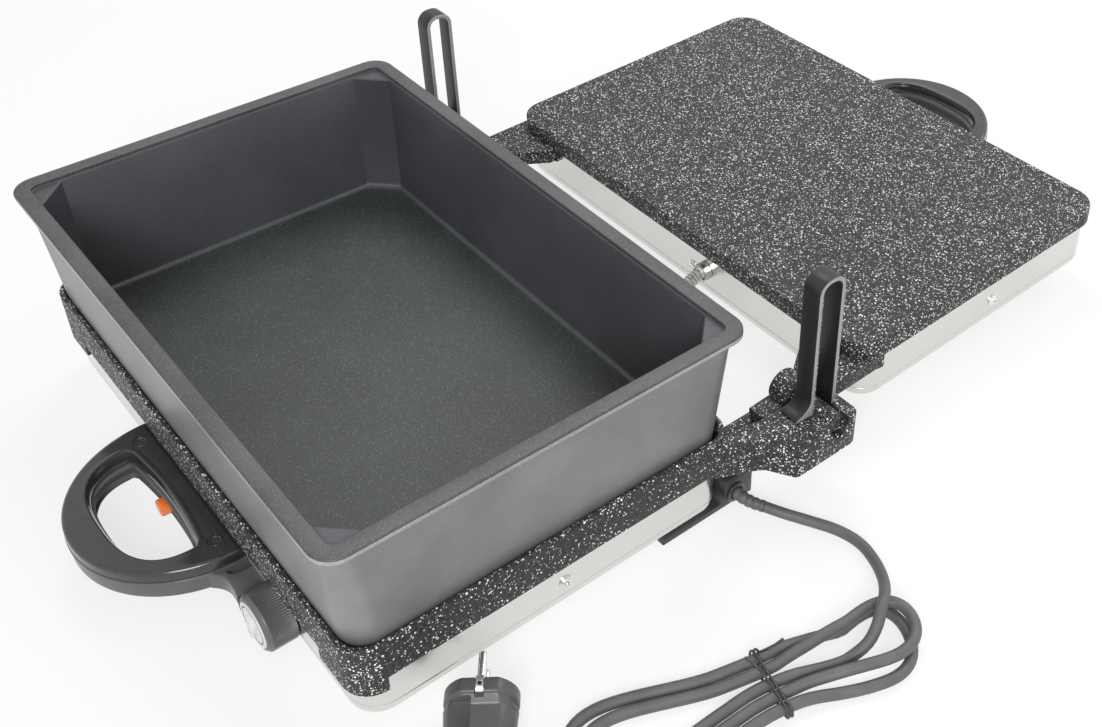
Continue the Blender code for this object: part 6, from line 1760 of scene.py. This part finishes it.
@dataclass(frozen=True)
class OpenLid:
    """The lid, lying open a little past level: its casting, shell, handle and screws."""

    hinge: Flat = (0.191, 0.060)
    tilt: float = math.radians(2.0)
    near_y: float = 0.2512
    half: Flat = (0.201, 0.1295)
    corner: float = 0.021
    face: float = 0.060
    band: float = 0.0135
    skirt: float = 0.003
    plate: float = 0.005
    deep_band: float = 0.0100
    arm_x: float = 0.149
    eye_in: float = 0.1848
    eye_out: float = 0.2003

    def turn(self) -> Matrix:
        """The lid's tilt about its hinge."""
        pivot = Vector((0.0, *self.hinge))
        return Matrix.Translation(pivot) @ Matrix.Rotation(self.tilt, 4, "X") @ Matrix.Translation(-pivot)

    def middle_y(self) -> float:
        """The plate's middle before the tilt."""
        return self.near_y + self.half[1]

    def build(self) -> None:
        """Makes the lid's pieces."""
        turn = self.turn()
        self._casting(turn)
        half = drawn_in(self.half, self.skirt + CLEAR)
        bottom = self.face - self.band - 0.0382
        top = self.face - self.plate - CLEAR
        middle = self.middle_y()
        PressedShell("lid_pressed_shell", "lid_shell", "lid", half, bottom, top, middle).build(turn)
        height, beside = self.face - 0.0330, middle + 0.0110
        Screw("lid_shell_screw_right", (half[0], beside, height), Axis.X, 1, "lid").build(turn)
        Screw("lid_shell_screw_left", (-half[0], beside, height), Axis.X, -1, "lid").build(turn)
        Screw("lid_shell_screw_rear", (0.0220, middle - half[1], height), Axis.Y, -1, "lid").build(turn)
        far = self.near_y + 2 * self.half[1]
        Handle("lid", "lid", far, -self.skirt, 1, self.face - 0.0228).build(turn)

    def _casting(self, turn: Matrix) -> None:
        """The flat plate, its skirt and its two hinge arms."""
        face, bottom = self.face, self.face - self.band
        rows = [(self.skirt, face - self.plate), (self.skirt, bottom)]
        rows += [(inset, bottom + rise) for inset, rise in quarter_round(0.0006, 3)]
        rows += [(inset, face - rise) for inset, rise in reversed(quarter_round(0.0012, 4))]
        plate = loft([ring(self.half, self.corner, *row, self.middle_y()) for row in rows])
        adds, cuts = [], []
        for side in (1, -1):
            adds += [self._deep_corner(side, bottom), self._web(side), self._eye(side), self._lug(side)]
            cuts.append(prism(circle(self.hinge, 0.0073), Axis.X, side * 0.1808, side * 0.2043))
        make_piece("speckled_lid_plate", carve(plate, adds, cuts), STONE, "lid", ["lid_plate"], turn)

    def _deep_corner(self, side: int, bottom: float) -> Shape:
        """The deeper skirt between a corner and the arm's root."""
        band = corner_band(self.half, self.corner, self.skirt, self.arm_x - 0.002)
        placed = [(side * x, self.middle_y() - y) for x, y in band]
        return prism(placed, Axis.Z, bottom - self.deep_band, bottom + self.skirt)

    def _web(self, side: int) -> Shape:
        """The arm's web, from the plate's corner to the eye."""
        inset = 0.0022
        corner = (self.half[0] - self.corner, self.near_y + self.corner)
        outline = [(self.eye_out, corner[1]), (self.eye_out, self.hinge[0])]
        elbow = ((self.eye_in, 0.0), (self.eye_in, 0.0218), (0.1835, 0.0236), (0.1790, 0.0246))
        elbow += ((0.1720, 0.0252), (0.1690, 0.0268), (self.arm_x, 0.0555))
        outline += [(x, self.hinge[0] + out) for x, out in elbow]
        outline += [(self.arm_x, self.near_y + inset), *arc(corner, self.corner - inset, -QUARTER, 0.0, 14)]
        return soften(prism(mirrored(outline, side), Axis.Z, self.face - 0.0235, self.face - 0.0118), 0.0006)

    def _eye(self, side: int) -> Shape:
        """The round eye in which the pin turns."""
        eye = prism(circle(self.hinge, 0.0118), Axis.X, side * self.eye_in, side * self.eye_out)
        return soften(eye, 0.0006)

    def _lug(self, side: int) -> Shape:
        """The lug that rests over the tray's ledge."""
        y, z = self.hinge
        outline = [(y - 0.029, z - 0.0125), (y, z - 0.0115), (y, z - 0.0025), (y - 0.029, z - 0.0035)]
        return soften(prism(outline, Axis.X, side * 0.1851, side * 0.2000), 0.0006)


@dataclass(frozen=True)
class HingePins:
    """The two floating pins, each turning in an eye and sliding in an upright's slot."""

    hinge: Flat = (0.191, 0.060)
    radius: float = 0.007
    inner_x: float = 0.1852
    outer_x: float = 0.2340

    def build(self) -> None:
        """Makes both pins in place of their nodes."""
        inner = [(inset, self.inner_x + rise) for inset, rise in quarter_round(0.0010, 4)]
        outer = [(inset, self.outer_x - rise) for inset, rise in reversed(quarter_round(0.0012, 4))]
        for label, side in SIDES:
            profile = [(self.radius - inset, side * along) for inset, along in [*inner, *outer]]
            shape = turned(self.hinge, Axis.X, profile, 56)
            make_piece(f"speckled_pin_{label}", shape, STONE, "hinge_carriage", [f"hinge_pin_{label}"])


@dataclass(frozen=True)
class Conduit:
    """The ribbed hose that takes the lid's wires, in two stretches that meet halfway."""

    radius: float = 0.0055
    valley: float = 0.0043
    pitch: float = 0.0026
    start: Triple = (0.1396, 0.1430, 0.0095)
    straight: float = 0.0110
    lead: float = 0.0165
    lid_straight: float = 0.0030
    lid_lead: float = 0.0060
    lowest: float = 0.0058
    shares: tuple[Triple, ...] = (
        (0.700, 0.002, 0.0),
        (0.380, 0.006, 0.0),
        (0.035, 0.036, 0.0),
        (-0.220, 0.136, 0.0),
        (-0.370, 0.300, 0.0),
        (-0.380, 0.480, 0.08),
        (-0.200, 0.690, 0.20),
        (-0.060, 0.800, 0.55),
    )

    def build(self, lid: OpenLid) -> None:
        """Makes the hose in place of its node, running from the box by the hinge's pins to the lid."""
        near = lid.middle_y() - lid.half[1] + lid.skirt
        end = lid.turn() @ Vector((0.0370, near - 0.0013, lid.face - 0.0285))
        way = lid.turn().to_3x3() @ Vector((0.0, -1.0, 0.0))
        start = Vector(self.start)
        first = start - Vector((self.lead, 0.0, 0.0))
        points = [start, start - Vector((self.straight, 0.0, 0.0)), first]
        for sideways, along, up in self.shares:
            x = end.x + (first.x - end.x) * sideways
            y = start.y + (end.y - start.y) * along
            points.append(Vector((x, y, self.lowest + (end.z - self.lowest) * up)))
        points += [end + way * self.lid_lead, end + way * self.lid_straight, end]
        per_rib = 8
        fine = smooth_route(points, self.pitch / per_rib, self.radius)
        waves = [0.5 + 0.5 * math.cos(2 * math.pi * i / per_rib) for i in range(len(fine))]
        radii = [self.valley + (self.radius - self.valley) * wave**0.6 for wave in waves]
        half = len(fine) // 2
        stretches = (
            ("lower", slice(0, half + 1), ("base", "hinge_carriage")),
            ("upper", slice(half, None), ("hinge_carriage", "lid")),
        )
        for label, part, bodies in stretches:
            route = fine[part]
            shape = loft(sweep(route, radii[part], 24))
            piece = make_piece(f"ribbed_hose_{label}", shape, HOSE, None, ["wire_conduit"], angle=75.0)
            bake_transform(piece)


class Inside:
    """The parts inside and below that keep their shape and get their finish."""

    finishes: dict[str, Finish] = {
        "tray_heater": HEATED,
        "lid_heater": HEATED,
        "tray_reflector": METAL,
        "lid_reflector": METAL,
        "terminal_block": PALE,
        "thermostat": PALE,
        "thermostat_wire": PALE,
        "thermostat_shaft": METAL,
        "front_foot_left": RUBBER,
        "front_foot_right": RUBBER,
        "conduit_ferrule_lower": METAL,
        "conduit_ferrule_lid": METAL,
    }

    def build(self) -> None:
        """Dresses each node."""
        for node, finish in self.finishes.items():
            dress_node(node, finish)


def main() -> None:
    """Builds the set and the grill's pieces in order."""
    logging.basicConfig(level=logging.INFO, format="%(message)s")
    PhotoCamera().build()
    MainsLead().build(Plug())
    Studio().build()
    LowerCasting().build()
    PressedShell("lower_pressed_shell", "lower_shell", "base", (0.2012, 0.1292), 0.005, 0.0433).build()
    Screw("shell_screw_right", (0.2012, 0.004, 0.0240), Axis.X, 1, "base").build()
    Screw("shell_screw_left", (-0.2012, 0.004, 0.0240), Axis.X, -1, "base").build()
    Screw("shell_screw_rear", (-0.0220, 0.1292, 0.0240), Axis.Y, 1, "base").build()
    for label, side in SIDES:
        Upright(label, side).build()
    DeepPan().build()
    FrontFurniture().build()
    RearSupport().build()
    HingePins().build()
    lid = OpenLid()
    lid.build()
    Conduit().build(lid)
    Inside().build()


if __name__ == "__main__":
    main()
